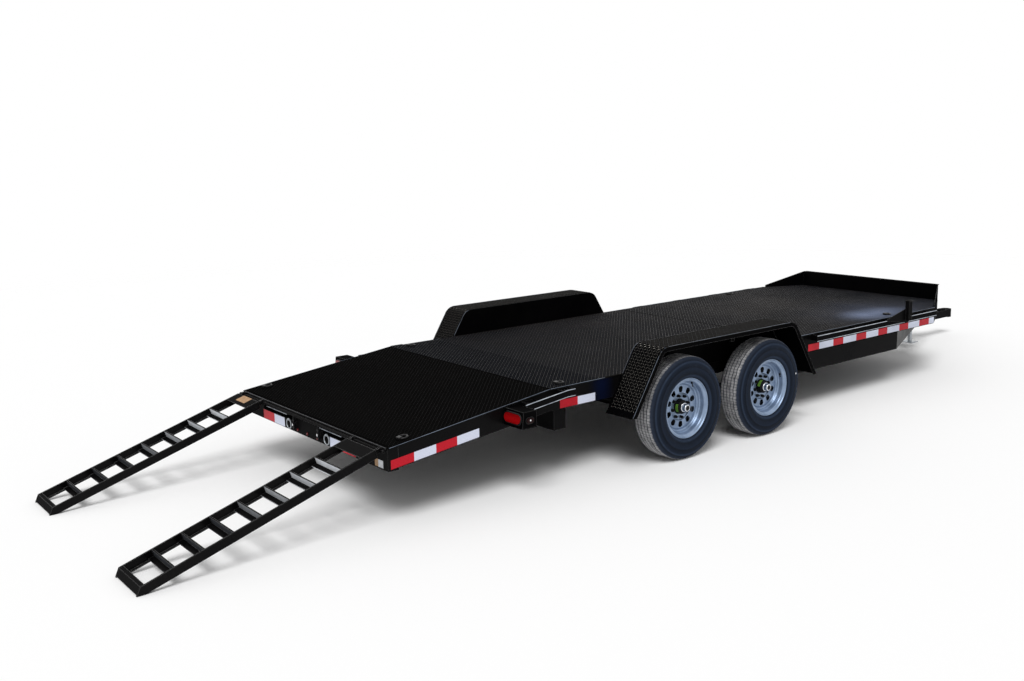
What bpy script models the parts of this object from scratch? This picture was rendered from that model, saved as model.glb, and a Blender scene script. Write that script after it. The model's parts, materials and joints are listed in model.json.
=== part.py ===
# Tandem-axle steel-deck car hauler with dovetail and two loose ramps.
# Datum while building: midway between the axles on the ground, +X towards the coupler, +Y left, +Z up.
# Everything hangs on one empty that moves the bounding-box centre to x = 0.
import math

import bmesh
import bpy
from mathutils import Matrix, Vector

for old in list(bpy.data.objects):
    bpy.data.objects.remove(old)

GAP = 0.0003            # clearance between two pieces that touch
STEEL = 0.006           # usual plate and channel-web thickness

# running gear
FRAME_HALF = 1.018      # outer face of the side channel; every width below follows it
AXLE_X = 0.468          # each axle sits this far from the datum
TYRE_R = 0.382
TYRE_BULGE = 0.020      # sidewall stands out past the rim flange
RIM_PLANE_Y = FRAME_HALF + 0.260     # outer face of the rim flange
RIM_WIDTH = 0.180
RIM_R = 0.224
RIM_SEAT_R = 0.206
HAND_HOLES = 10
HAND_HOLE_R = 0.019
RIM_STEPS = 20          # a multiple of the hand holes
TYRE_STEPS = 40
SPRING_Y = FRAME_HALF - 0.028
SPRING_WIDTH = 0.044
SPRING_HALF = 0.330
SPRING_EYE_Z = 0.442
SPRING_EYE_R = 0.019
AXLE_TUBE_Z = 0.300
AXLE_TUBE_R = 0.038
SPINDLE_R = 0.0200      # runs inside the hub bore
HUB_BORE_R = 0.0206
EQUALIZER_HALF = AXLE_X - SPRING_HALF

# frame and deck
RAIL_TOP = 0.655
RAIL_BOTTOM = 0.503
FLANGE = 0.058
CORNER_EASE = 0.005     # rounding of a channel's outer corners, cut as one flat
BREAK_X = -1.557        # deck starts to fall here
REAR_X = -2.851
REAR_TOP = 0.499
REAR_BOTTOM = 0.357
CORNER_X = 3.320        # deck corners are cut off from here to the nose
NOSE_X = 3.760
NOSE_HALF = FRAME_HALF - 0.218
SILL_DEPTH = 0.076
CROSS_HEIGHT = 0.076
CROSS_WIDTH = 0.040
CROSS_WEB = 0.006
CROSS_PLAY = 0.0006     # between a cross channel's end and the side channel
CROSS_SINK = 0.0022     # how far a cross channel reaches into the deck plate it is welded to
CROSS_LEVEL = [-1.540, -1.134, -0.728, -0.322, 0.084, 0.490, 0.896, 1.302, 1.708, 2.114, 2.520, 2.926, 3.258]
CROSS_FALLING = [-1.946, -2.352]
DECK_HALF = FRAME_HALF + 0.004
DECK_THICK = 0.0047
DECK_TOP = RAIL_TOP + GAP + DECK_THICK
BULKHEAD_TOP = 0.815
BULKHEAD_FOOT = 0.020
BULKHEAD_LIP = 0.035
SLOT_IN = 0.200
SLOT_OUT = 0.680
SLOT_LOW = 0.428         # the tape band lies below the slots
SLOT_HIGH = 0.470

# tongue
LOWER_BOTTOM = 0.338
LOWER_START_X = 1.130
TONGUE_BEND_X = 2.690
TONGUE_APEX_X = 4.900
TONGUE_APEX_HALF = 0.075
COUPLER_TIP_X = 5.450
COUPLER_LOW = 0.200
COUPLER_HIGH = 0.292
COUPLER_HEAD_R = 0.055
SHELF_X = (4.142, 4.348)     # shelf across the A-frame for the battery box
SHELF_HALF = 0.300
SHELF_THICK = 0.0065
JACK_X = 4.640
JACK_TOP = 0.622
JACK_TUBE_R = 0.030
JACK_BORE_R = 0.0235
JACK_LEG_R = 0.0225
JACK_TUBE_LOW = 0.220
JACK_FOOT = 0.130
JACK_FOOT_THICK = 0.008

# rub rails, fenders, lights
RUB_Y = FRAME_HALF + 0.072
RUB_THICK = 0.010
RUB_LOW = 0.600
RUB_HIGH = 0.648
RUB_FRONT = (1.345, 3.240)
RUB_REAR = (-1.830, -1.384)
POCKET_LONG = 0.110
POCKET_TALL = 0.049
FENDER_IN = DECK_HALF + 0.0085
FENDER_OUT = RIM_PLANE_Y + TYRE_BULGE + 0.002
FENDER_TOP = 0.874
FENDER_LOW = 0.405
FENDER_TOP_HALF = 0.755
FENDER_LOW_HALF = 1.050
FENDER_LIP = 0.034
FENDER_SKIN = 0.005
FENDER_PANEL_LOW = 0.600
FENDER_CORNER = 0.110
LIGHT_BOX_X = (-1.962, -1.842)
LIGHT_BOX_OUT = FRAME_HALF + 0.198
LIGHT_BOX_LOW = 0.492
LIGHT_BOX_HIGH = 0.604
LAMP_LONG = 0.164
LAMP_TALL = 0.062
LAMP_Y = FRAME_HALF + 0.098
LAMP_Z = 0.550

# ramps
RAMP_OUT = FRAME_HALF - 0.040
RAMP_IN = RAMP_OUT - 0.344
HINGE_X = -2.877
HINGE_Z = 0.488
ROD_R = 0.0095
RAMP_RAIL_HIGH = 0.022  # rail top above the hinge line, square to the ramp
RAMP_RAIL_LOW = 0.033   # rail bottom below it
RAMP_LONG = 1.545
RAMP_WEB = 0.009
RAMP_FLANGE = 0.028
RAMP_HEAD = (0.030, 0.130)   # plate at the hinge end
RUNG_FIRST = 0.275
RUNG_COUNT = 7
RUNG_THICK = 0.010
RUNG_TOE = 0.036
RUNG_STEP = (RAMP_LONG - 0.462) / (RUNG_COUNT - 1)

RAMP_ANGLE = math.asin((HINGE_Z - RAMP_RAIL_LOW * math.cos(math.radians(17.0))) / RAMP_LONG)
RAMP_TIP = RAMP_LONG + 0.007     # top edge of the end plate, which leans out towards the ground
RAMP_FOOT = RAMP_LONG + 0.043    # the feet lie flat on the ground from RAMP_LONG to here
RAMP_FOOT_LOW = (RAMP_FOOT * math.sin(RAMP_ANGLE) - HINGE_Z) / math.cos(RAMP_ANGLE) + 0.0002
X_MIN = HINGE_X - RAMP_FOOT * math.cos(RAMP_ANGLE) - RAMP_FOOT_LOW * math.sin(RAMP_ANGLE)
X_SHIFT = -(X_MIN + COUPLER_TIP_X) / 2

parts = bpy.data.collections.new("trailer")
bpy.context.scene.collection.children.link(parts)
cutters = bpy.data.collections.new("cutters")
bpy.context.scene.collection.children.link(cutters)
root = bpy.data.objects.new("datum", None)
root.location = (X_SHIFT, 0, 0)
cutters.objects.link(root)

FINISHES = {
    "black_paint": ((0.022, 0.022, 0.025), 0.7, 0.35),
    "deck_paint": ((0.16, 0.165, 0.175), 0.7, 0.42),
    "tyre_rubber": ((0.03, 0.03, 0.03), 0.0, 0.8),
    "silver_paint": ((0.55, 0.56, 0.57), 0.7, 0.4),
    "red_lens": ((0.6, 0.02, 0.02), 0.0, 0.2),
    "bare_steel": ((0.5, 0.5, 0.5), 0.9, 0.35),
}


def material_for(node, finish):
    colour, metallic, roughness = FINISHES[finish]
    mat = bpy.data.materials.new(node + "_" + finish)
    mat.use_nodes = True
    shader = mat.node_tree.nodes["Principled BSDF"]
    shader.inputs["Base Color"].default_value = (*colour, 1)
    shader.inputs["Metallic"].default_value = metallic
    shader.inputs["Roughness"].default_value = roughness
    return mat


# solids

def loft(rings, close_ends=True):
    """Closed skin through rings that all have the same number of points."""
    bm = bmesh.new()
    rows = [[bm.verts.new(p) for p in ring] for ring in rings]
    count = len(rings[0])
    for a, b in zip(rows, rows[1:]):
        for i in range(count):
            j = (i + 1) % count
            bm.faces.new((a[i], a[j], b[j], b[i]))
    if close_ends:
        bm.faces.new(rows[0])
        bm.faces.new(rows[-1])
    bmesh.ops.recalc_face_normals(bm, faces=bm.faces)
    return bm


def prism(points, axis, start, end):
    """Polygon in the plane across an axis, drawn out from start to end."""
    place = {
        "X": lambda p, t: Vector((t, p[0], p[1])),
        "Y": lambda p, t: Vector((p[0], t, p[1])),
        "Z": lambda p, t: Vector((p[0], p[1], t)),
    }[axis]
    return loft([[place(p, start) for p in points], [place(p, end) for p in points]])


def box(x0, x1, y0, y1, z0, z1):
    return prism([(x0, y0), (x1, y0), (x1, y1), (x0, y1)], "Z", z0, z1)


def revolve(profile, segments, axis, pierce=None):
    """Turn a closed (radius, height) outline about an axis; radius 0 closes on it.

    pierce = (front strip, back strip, hole count, hole radius) opens round holes through a flat disc.
    """
    bm = bmesh.new()
    columns = []
    for k in range(segments):
        turn = 2 * math.pi * k / segments
        c, s = math.cos(turn), math.sin(turn)
        column = []
        for n, (r, h) in enumerate(profile):
            if r < 1e-6 and k:
                column.append(columns[0][n])
                continue
            if axis == "Y":
                spot = (r * c, h, r * s)
            else:
                spot = (r * c, r * s, h)
            column.append(bm.verts.new(spot))
        columns.append(column)
    count = len(profile)
    for k in range(segments):
        a, b = columns[k], columns[(k + 1) % segments]
        for i in range(count):
            if pierce and i in pierce[:2]:
                continue
            j = (i + 1) % count
            corner = []
            for v in (a[i], a[j], b[j], b[i]):
                if v not in corner:
                    corner.append(v)
            if len(corner) > 2:
                bm.faces.new(corner)
    if pierce:
        front, back, holes, hole_r = pierce
        per = segments // holes
        for h in range(holes):
            walls = []
            for strip in (front, back):
                loop = [columns[(h * per + k) % segments][strip] for k in range(per + 1)]
                loop += [columns[(h * per + k) % segments][strip + 1] for k in range(per, -1, -1)]
                mid_r = (profile[strip][0] + profile[strip + 1][0]) / 2
                mid_a = 2 * math.pi * (h + 0.5) / holes
                centre = Vector((mid_r * math.cos(mid_a), profile[strip][1], mid_r * math.sin(mid_a)))
                ring = []
                for v in loop:
                    ray = v.co - centre
                    ring.append(bm.verts.new(centre + ray.normalized() * hole_r))
                for k in range(len(loop)):
                    j = (k + 1) % len(loop)
                    bm.faces.new((loop[k], loop[j], ring[j], ring[k]))
                walls.append(ring)
            outer, inner = walls
            inner = [inner[-1 - k] for k in range(len(inner))]
            inner = inner[len(inner) - (per + 1) * 2:]
            for k in range(len(outer)):
                j = (k + 1) % len(outer)
                bm.faces.new((outer[k], outer[j], inner[j], inner[k]))
    bmesh.ops.recalc_face_normals(bm, faces=bm.faces)
    return bm


def cylinder(radius, segments, axis, start, end, centre=(0, 0, 0)):
    bm = revolve([(0, start), (radius, start), (radius, end), (0, end)], segments,
                 "Y" if axis == "Y" else "Z")
    if axis == "X":
        bmesh.ops.rotate(bm, verts=bm.verts, matrix=Matrix.Rotation(math.pi / 2, 3, "Y"))
    bmesh.ops.translate(bm, verts=bm.verts, vec=centre)
    return bm


def torus(major, minor, turns, sides, axis):
    ring = [(major + minor * math.cos(2 * math.pi * i / sides),
             minor * math.sin(2 * math.pi * i / sides)) for i in range(sides)]
    return revolve(ring, turns, axis)


def moved(bm, vec, rotation=None):
    if rotation is not None:
        bmesh.ops.rotate(bm, verts=bm.verts, matrix=rotation)
    bmesh.ops.translate(bm, verts=bm.verts, vec=vec)
    return bm


def mesh_object(name, bm, where):
    mesh = bpy.data.meshes.new(name)
    bm.to_mesh(mesh)
    bm.free()
    obj = bpy.data.objects.new(name, mesh)
    where.objects.link(obj)
    return obj


def cutter_group(node, kind, pieces, side):
    group = bpy.data.collections.new(node + "_" + kind)
    cutters.children.link(group)
    for n, bm in enumerate(pieces):
        if side < 0:
            mirror_y(bm)
        obj = mesh_object("%s_%s_%d" % (node, kind, n), bm, group)
        obj.hide_render = True
        obj.display_type = "WIRE"
        obj.parent = root
        obj.matrix_parent_inverse = Matrix()
    return group


def mirror_y(bm):
    bmesh.ops.scale(bm, vec=(1, -1, 1), verts=bm.verts)
    bmesh.ops.reverse_faces(bm, faces=bm.faces)


def add_node(name, finish, pieces, cuts=(), side=1, bevel=0.0, parent=None):
    """One part: the first piece joined with the rest, then cut. side -1 mirrors it to the right."""
    first = pieces[0]
    if side < 0:
        mirror_y(first)
    obj = mesh_object(name, first, parts)
    obj.data.materials.append(material_for(name, finish))
    obj.parent = parent or root
    for kind, extra, operation in (("joined", pieces[1:], "UNION"), ("cut", list(cuts), "DIFFERENCE")):
        if not extra:
            continue
        group = cutter_group(name, kind, extra, side)
        if parent:
            for piece in group.objects:
                piece.parent = parent
        mod = obj.modifiers.new(kind, "BOOLEAN")
        mod.operation = operation
        mod.solver = "EXACT"
        mod.operand_type = "COLLECTION"
        mod.collection = group
    if bevel:
        mod = obj.modifiers.new("edges", "BEVEL")
        mod.width = bevel
        mod.segments = 1
        mod.limit_method = "ANGLE"
        mod.angle_limit = math.radians(50)
    return obj


# frame

def falling(x, level, rear_level):
    """Height of a line that is level ahead of the break and falls to the rear."""
    if x >= BREAK_X:
        return level
    return level + (rear_level - level) * (BREAK_X - x) / (BREAK_X - REAR_X)


def channel_section(point, inward, top, bottom):
    """C section that opens inward, as ten points round its outline, outer corners eased."""
    x, y = point

    def at(depth, z):
        return (x + inward[0] * depth, y + inward[1] * depth, z)
    return [at(0, bottom + CORNER_EASE), at(0, top - CORNER_EASE), at(CORNER_EASE, top), at(FLANGE, top),
            at(FLANGE, top - STEEL), at(STEEL, top - STEEL), at(STEEL, bottom + STEEL),
            at(FLANGE, bottom + STEEL), at(FLANGE, bottom), at(CORNER_EASE, bottom)]


def perimeter_rails():
    rail_rear = REAR_X + SILL_DEPTH + GAP
    path = [(rail_rear, FRAME_HALF), (BREAK_X, FRAME_HALF), (CORNER_X, FRAME_HALF),
            (NOSE_X, NOSE_HALF), (NOSE_X, -NOSE_HALF), (CORNER_X, -FRAME_HALF),
            (BREAK_X, -FRAME_HALF), (rail_rear, -FRAME_HALF)]
    normals = []
    for a, b in zip(path, path[1:]):
        dx, dy = b[0] - a[0], b[1] - a[1]
        size = math.hypot(dx, dy)
        normals.append((dy / size, -dx / size))
    rings = []
    for i, point in enumerate(path):
        n1 = normals[max(i - 1, 0)]
        n2 = normals[min(i, len(normals) - 1)]
        dot = 1 + n1[0] * n2[0] + n1[1] * n2[1]
        inward = ((n1[0] + n2[0]) / dot, (n1[1] + n2[1]) / dot)
        top = falling(point[0], RAIL_TOP, REAR_TOP)
        bottom = falling(point[0], RAIL_BOTTOM, REAR_BOTTOM)
        rings.append(channel_section(point, inward, top, bottom))
    return loft(rings)


frame_pieces = [perimeter_rails()]

# outriggers under the break, left open in the middle for the stored ramps
OUTRIGGER_X = (-1.512, -1.408)
OUTRIGGER_IN = FRAME_HALF - 0.298
OUTRIGGER_LOW = 0.357
for side in (1, -1):
    y0, y1 = sorted((side * OUTRIGGER_IN, side * (FRAME_HALF - 0.014)))
    frame_pieces.append(box(OUTRIGGER_X[0], OUTRIGGER_X[1], y0, y1, OUTRIGGER_LOW, RAIL_BOTTOM + 0.004))
    for x in (AXLE_X + SPRING_HALF, -AXLE_X - SPRING_HALF, 0.0):
        low = SPRING_EYE_Z - 0.026 if x else SPRING_EYE_Z - 0.004
        for a, b in ((FRAME_HALF - FLANGE + 0.0006, SPRING_Y - SPRING_WIDTH / 2 - GAP),
                     (SPRING_Y + SPRING_WIDTH / 2 + GAP, FRAME_HALF - 0.0006)):
            y0, y1 = sorted((side * a, side * b))
            outline = [(x - 0.045, RAIL_BOTTOM + 0.003), (x + 0.045, RAIL_BOTTOM + 0.003),
                       (x + 0.024, low), (x - 0.024, low)]
            frame_pieces.append(prism(outline, "Y", y0, y1))
add_node("main_frame", "black_paint", frame_pieces)

# rear sill: carries the slide-in ramp slots, the latches and the rod the ramps hook on
sill_outline = [(REAR_X, REAR_BOTTOM), (REAR_X, REAR_TOP), (REAR_X + SILL_DEPTH, REAR_TOP + 0.0092),
                (REAR_X + SILL_DEPTH, REAR_BOTTOM)]
sill_pieces = [prism(sill_outline, "Y", -FRAME_HALF, FRAME_HALF),
               cylinder(ROD_R, 16, "Y", -FRAME_HALF + 0.004, FRAME_HALF - 0.004, (HINGE_X, 0, HINGE_Z))]
for y in (-FRAME_HALF + 0.018, -RAMP_IN + 0.024, -0.010, RAMP_IN - 0.044, FRAME_HALF - 0.038):
    sill_pieces.append(box(HINGE_X - 0.006, REAR_X + 0.002, y, y + 0.020, HINGE_Z - 0.007, HINGE_Z + 0.007))
sill_cuts = []
for side in (1, -1):
    y0, y1 = sorted((side * SLOT_IN, side * SLOT_OUT))
    sill_cuts.append(box(REAR_X - 0.01, REAR_X + SILL_DEPTH + 0.01, y0, y1, SLOT_LOW, SLOT_HIGH))
add_node("rear_sill", "black_paint", sill_pieces, sill_cuts)

def cross_channel(x, top, half):
    """Cross channel coped round the side channel: full height between the flange tips, lower out to the web."""
    low = top - CROSS_HEIGHT

    def outline(height):
        return [(x, low), (x, height), (x + CROSS_WIDTH, height), (x + CROSS_WIDTH, height - CROSS_WEB),
                (x + CROSS_WEB, height - CROSS_WEB), (x + CROSS_WEB, low + CROSS_WEB),
                (x + CROSS_WIDTH, low + CROSS_WEB), (x + CROSS_WIDTH, low)]
    flange_tip = half - FLANGE - CROSS_PLAY
    web = half - STEEL - CROSS_PLAY
    slope_drop = (RAIL_TOP - REAR_TOP) / (BREAK_X - REAR_X) * CROSS_WIDTH if x < BREAK_X else 0
    under_flange = falling(x, RAIL_TOP, REAR_TOP) - slope_drop * 0.3 - STEEL - CROSS_PLAY
    return [prism(outline(top), "Y", -flange_tip, flange_tip),
            prism(outline(under_flange), "Y", -web, web)]


# deck: sheets, level then falling, corners cut at the nose, each welded on its cross channels
def deck_half(x):
    if x <= CORNER_X:
        return DECK_HALF
    return DECK_HALF + (NOSE_HALF + 0.002 - DECK_HALF) * (x - CORNER_X) / (NOSE_X - CORNER_X)


# sheet, rear edge, front edge; each seam runs along the front edge of a cross channel
DECK_SHEETS = [("tail", REAR_X, CROSS_LEVEL[1] + CROSS_WIDTH),
               ("middle", CROSS_LEVEL[1] + CROSS_WIDTH + GAP, CROSS_LEVEL[10] + CROSS_WIDTH),
               ("front", CROSS_LEVEL[10] + CROSS_WIDTH + GAP, NOSE_X)]
for word, rear, front in DECK_SHEETS:
    rings = []
    for x in (rear, BREAK_X, CORNER_X, front):
        if x < rear or x > front:
            continue
        low = falling(x, RAIL_TOP, REAR_TOP) + GAP + (0.0002 if x == REAR_X else 0)
        half = deck_half(x)
        rings.append([(x, -half, low), (x, half, low), (x, half, low + DECK_THICK), (x, -half, low + DECK_THICK)])
    deck_pieces = [loft(rings)]
    for x in CROSS_LEVEL + CROSS_FALLING:
        if rear < x < front:
            deck_pieces += cross_channel(x, falling(x, RAIL_TOP, REAR_TOP) + CROSS_SINK, FRAME_HALF)
    add_node("deck_sheet_" + word, "deck_paint", deck_pieces)

# bulkhead: folded plate across the nose with a wing on each cut corner
low = DECK_TOP + GAP
wing_in = 0.020
bulkhead_path = [(CORNER_X + wing_in, DECK_HALF - 0.014, low + BULKHEAD_FOOT),
                 (NOSE_X - 0.002, NOSE_HALF, BULKHEAD_TOP),
                 (NOSE_X - 0.002, -NOSE_HALF, BULKHEAD_TOP),
                 (CORNER_X + wing_in, -DECK_HALF + 0.014, low + BULKHEAD_FOOT)]
rings = []
for i, (x, y, top) in enumerate(bulkhead_path):
    sign = 1 if y > 0 else -1
    if i in (0, 3):
        back = (x - 0.0035, y - sign * 0.0071)
    else:
        back = (x - STEEL * 1.2, y - sign * 0.0016)
    rings.append([(x, y, low), (x, y, top), (*back, top), (*back, low)])
lip = box(NOSE_X - 0.006, NOSE_X - 0.002 + BULKHEAD_LIP, -NOSE_HALF + 0.01, NOSE_HALF - 0.01,
          BULKHEAD_TOP - STEEL, BULKHEAD_TOP)
add_node("bulkhead", "black_paint", [loft(rings), lip])


# tongue

def tongue_member(side):
    top = RAIL_BOTTOM - GAP
    path = [(LOWER_START_X, side * FRAME_HALF), (TONGUE_BEND_X, side * FRAME_HALF),
            (TONGUE_APEX_X, side * TONGUE_APEX_HALF)]
    normals = []
    for a, b in zip(path, path[1:]):
        dx, dy = b[0] - a[0], b[1] - a[1]
        size = math.hypot(dx, dy)
        normals.append((side * dy / size, -side * dx / size))
    rings = []
    for i, point in enumerate(path):
        n1 = normals[max(i - 1, 0)]
        n2 = normals[min(i, len(normals) - 1)]
        dot = 1 + n1[0] * n2[0] + n1[1] * n2[1]
        rings.append(channel_section(point, ((n1[0] + n2[0]) / dot, (n1[1] + n2[1]) / dot), top, LOWER_BOTTOM))
    return loft(rings)


tongue_top = RAIL_BOTTOM - GAP
tongue_pieces = [tongue_member(1), tongue_member(-1)]
for x in (1.180, 2.560):
    half = FRAME_HALF - STEEL + 0.003
    outline = [(x, LOWER_BOTTOM + 0.02), (x, tongue_top - 0.02), (x + 0.05, tongue_top - 0.02),
               (x + 0.05, LOWER_BOTTOM + 0.02)]
    tongue_pieces.append(prism(outline, "Y", -half, half))
tongue_pieces.append(box(*SHELF_X, -SHELF_HALF, SHELF_HALF, LOWER_BOTTOM + 0.0005, LOWER_BOTTOM + SHELF_THICK))
# nose box the coupler bolts on, and the jack plate
tongue_pieces.append(box(TONGUE_APEX_X - 0.110, TONGUE_APEX_X + 0.012, -TONGUE_APEX_HALF - 0.02,
                         TONGUE_APEX_HALF + 0.02, LOWER_BOTTOM + 0.001, tongue_top - 0.001))
tongue_pieces.append(box(JACK_X - 0.075, JACK_X + 0.075, -0.170, 0.170, tongue_top - 0.005, tongue_top + 0.006))
jack_hole = cylinder(JACK_TUBE_R + GAP, 24, "Z", 0.30, 0.60, (JACK_X, 0, 0))
add_node("tongue_frame", "black_paint", tongue_pieces, [jack_hole])

coupler_back = TONGUE_APEX_X + 0.012 + GAP
head_x = COUPLER_TIP_X - COUPLER_HEAD_R
coupler_pieces = [
    box(coupler_back, coupler_back + 0.014, -0.060, 0.060, COUPLER_LOW + 0.002, tongue_top - 0.004),
    box(coupler_back + 0.010, head_x, -0.041, 0.041, COUPLER_LOW + 0.004, COUPLER_HIGH - 0.004),
    cylinder(COUPLER_HEAD_R, 28, "Z", COUPLER_LOW, COUPLER_HIGH, (head_x, 0, 0)),
    box(head_x - 0.150, head_x - 0.030, -0.012, 0.012, COUPLER_HIGH - 0.01, COUPLER_HIGH + 0.012),
    box(head_x - 0.240, head_x - 0.110, -0.015, 0.015, COUPLER_HIGH + 0.002, COUPLER_HIGH + 0.016),
]
socket = cylinder(0.027, 24, "Z", COUPLER_LOW - 0.01, COUPLER_LOW + 0.045, (head_x, 0, 0))
add_node("coupler", "black_paint", coupler_pieces, [socket])

# jack: outer tube fixed to the tongue, inner leg slides in it
tube_profile = [(JACK_BORE_R, JACK_TUBE_LOW), (JACK_TUBE_R, JACK_TUBE_LOW), (JACK_TUBE_R, JACK_TOP),
                (0, JACK_TOP), (0, JACK_TOP - 0.008), (JACK_BORE_R, JACK_TOP - 0.008)]
flange_low = tongue_top + 0.006 + GAP
jack_tube = add_node("jack_tube", "black_paint",
                     [revolve(tube_profile, 24, "Z"),
                      moved(revolve([(JACK_TUBE_R - 0.002, flange_low), (0.062, flange_low),
                                     (0.062, flange_low + 0.010), (JACK_TUBE_R - 0.002, flange_low + 0.010)],
                                    24, "Z"), (0, 0, 0)),
                      box(-0.026, 0.026, JACK_TUBE_R - 0.006, JACK_TUBE_R + 0.034, JACK_TOP - 0.075,
                          JACK_TOP - 0.012)])
jack_tube.location = (JACK_X, 0, 0)
for obj in bpy.data.collections["jack_tube_joined"].objects:
    obj.location = (JACK_X, 0, 0)
leg_profile = [(0, JACK_FOOT_THICK - 0.002), (JACK_LEG_R, JACK_FOOT_THICK - 0.002), (JACK_LEG_R, 0.395),
               (0, 0.395)]
jack_leg = add_node("jack_leg", "bare_steel",
                    [revolve(leg_profile, 24, "Z"),
                     box(-JACK_FOOT / 2, JACK_FOOT / 2, -JACK_FOOT / 2, JACK_FOOT / 2, 0, JACK_FOOT_THICK)])
jack_leg.location = (JACK_X, 0, 0)
for obj in bpy.data.collections["jack_leg_joined"].objects:
    obj.location = (JACK_X, 0, 0)
crank_y = JACK_TUBE_R + 0.034 + GAP
crank_z = JACK_TOP - 0.044
handle_pieces = [cylinder(0.009, 12, "Y", crank_y, crank_y + 0.055, (0, 0, 0)),
                 box(-0.165, 0.012, crank_y + 0.040, crank_y + 0.052, -0.008, 0.008),
                 cylinder(0.011, 12, "Y", crank_y + 0.044, crank_y + 0.150, (-0.155, 0, 0))]
for bm in handle_pieces:
    moved(bm, (JACK_X, 0, crank_z))
add_node("jack_handle", "bare_steel", handle_pieces)

shelf_top = LOWER_BOTTOM + SHELF_THICK
add_node("battery_box", "black_paint",
         [box(SHELF_X[0] + 0.008, SHELF_X[1] - 0.008, -0.105, 0.105, shelf_top + GAP, shelf_top + 0.150),
          box(SHELF_X[0] + 0.001, SHELF_X[1] - 0.001, -0.112, 0.112, shelf_top + 0.140, shelf_top + 0.163)])


# rub rails

def rub_rail(x0, x1, pockets, fall):
    def height(x, level):
        return level - (fall * max(0.0, BREAK_X + 0.10 - x))
    mids = [x0, x1] if not fall else [x0, BREAK_X + 0.10, x1]
    rings = []
    for x in mids:
        lo, hi = height(x, RUB_LOW), height(x, RUB_HIGH)
        rings.append([(x, RUB_Y - RUB_THICK, lo), (x, RUB_Y, lo), (x, RUB_Y, hi), (x, RUB_Y - RUB_THICK, hi)])
    pieces = [loft(rings)]
    cuts = []
    for x in pockets:
        hi = height(x, RAIL_TOP - 0.004)
        pieces.append(box(x - POCKET_LONG / 2, x + POCKET_LONG / 2, FRAME_HALF + GAP, RUB_Y - RUB_THICK + 0.004,
                          hi - POCKET_TALL, hi))
        cuts.append(box(x - POCKET_LONG / 2 + 0.007, x + POCKET_LONG / 2 - 0.007, FRAME_HALF + 0.007,
                        RUB_Y - RUB_THICK - 0.004, hi - 0.12, hi + 0.03))
    return pieces, cuts


FRONT_POCKETS = [1.42, 1.98, 2.54, 3.10]
REAR_POCKETS = [-1.450, -1.760]
REAR_FALL = 0.112
for side, word in ((-1, "right"), (1, "left")):
    pieces, cuts = rub_rail(*RUB_FRONT, FRONT_POCKETS, 0)
    add_node("rub_rail_front_" + word, "black_paint", pieces, cuts, side)
    pieces, cuts = rub_rail(*RUB_REAR, REAR_POCKETS, REAR_FALL)
    add_node("rub_rail_rear_" + word, "black_paint", pieces, cuts, side)

# post with a raking brace on the right rub rail
POST_X = (2.682, 2.734)
POST_TOP = 0.806
post_y0, post_y1 = RUB_Y + GAP, RUB_Y + 0.040
post_outline = [(POST_X[0], 0.602), (POST_X[1], 0.602), (POST_X[1], POST_TOP - 0.006), (POST_X[0], POST_TOP - 0.006),
                (POST_X[0], 0.728), (POST_X[0] - 0.290, 0.664), (POST_X[0] - 0.290, 0.644)]
add_node("spare_post", "black_paint",
         [prism(post_outline, "Y", post_y0, post_y0 + 0.008),
          box(*POST_X, post_y0 + 0.004, post_y1, 0.618, POST_TOP - 0.006),
          box(POST_X[0] - 0.007, POST_X[1] + 0.007, post_y0, post_y1 + 0.006, POST_TOP - 0.008, POST_TOP)], side=-1)


# fenders

def fender_line(inset):
    """Teardrop outline from the rear foot over the top to the front foot, moved in by inset."""
    run = FENDER_LOW_HALF - FENDER_TOP_HALF
    rise = FENDER_TOP - FENDER_LOW
    slope = math.hypot(run, rise)
    top = FENDER_TOP - inset
    foot = FENDER_LOW_HALF - inset * slope / rise
    knee = foot - run * (top - FENDER_LOW) / rise
    radius = FENDER_CORNER - inset
    ux, uz = -run / slope, rise / slope
    bend = math.pi / 2 - math.atan2(run, rise)
    reach = radius * math.tan(bend / 2)
    start = Vector((knee - ux * reach, top - uz * reach))
    centre = start + Vector((-uz, ux)) * radius
    points = [(foot, FENDER_LOW)]
    a0 = math.atan2(start.y - centre.y, start.x - centre.x)
    for k in range(7):
        a = a0 + (math.pi / 2 - a0) * k / 6
        points.append((centre.x + radius * math.cos(a), centre.y + radius * math.sin(a)))
    return points + [(-x, z) for x, z in reversed(points)]


def fender_pieces():
    outer = fender_line(0.0)
    skin = prism(outer + fender_line(FENDER_SKIN)[::-1], "Y", FENDER_IN + 0.0005, FENDER_OUT - 0.0005)
    lip = prism(outer + fender_line(FENDER_LIP)[::-1], "Y", FENDER_OUT - FENDER_SKIN, FENDER_OUT)
    panel_points = [(x, z) for x, z in outer]
    slope = (FENDER_LOW_HALF - FENDER_TOP_HALF) / (FENDER_TOP - FENDER_LOW)
    edge = FENDER_LOW_HALF - slope * (FENDER_PANEL_LOW - FENDER_LOW)
    panel_points[0] = (edge, FENDER_PANEL_LOW)
    panel_points[-1] = (-edge, FENDER_PANEL_LOW)
    panel = prism(panel_points, "Y", FENDER_IN, FENDER_IN + FENDER_SKIN)
    brace = box(-0.020, 0.020, FENDER_IN + 0.002, FENDER_OUT - 0.002, FENDER_TOP - 0.060, FENDER_TOP - 0.002)
    seats = [box(x - 0.040, x + 0.040, FRAME_HALF + GAP, FENDER_IN + 0.002, 0.606, 0.650) for x in (-0.620, 0, 0.620)]
    return [skin, lip, panel, brace] + seats


for side, word in ((-1, "right"), (1, "left")):
    add_node("fender_" + word, "black_paint", fender_pieces(), side=side)


# tail light boxes

def oval(long, tall, steps):
    half = (long - tall) / 2
    points = []
    for k in range(steps + 1):
        a = -math.pi / 2 + math.pi * k / steps
        points.append((half + tall / 2 * math.cos(a), tall / 2 * math.sin(a)))
    return points + [(-x, -z) for x, z in points]


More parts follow.
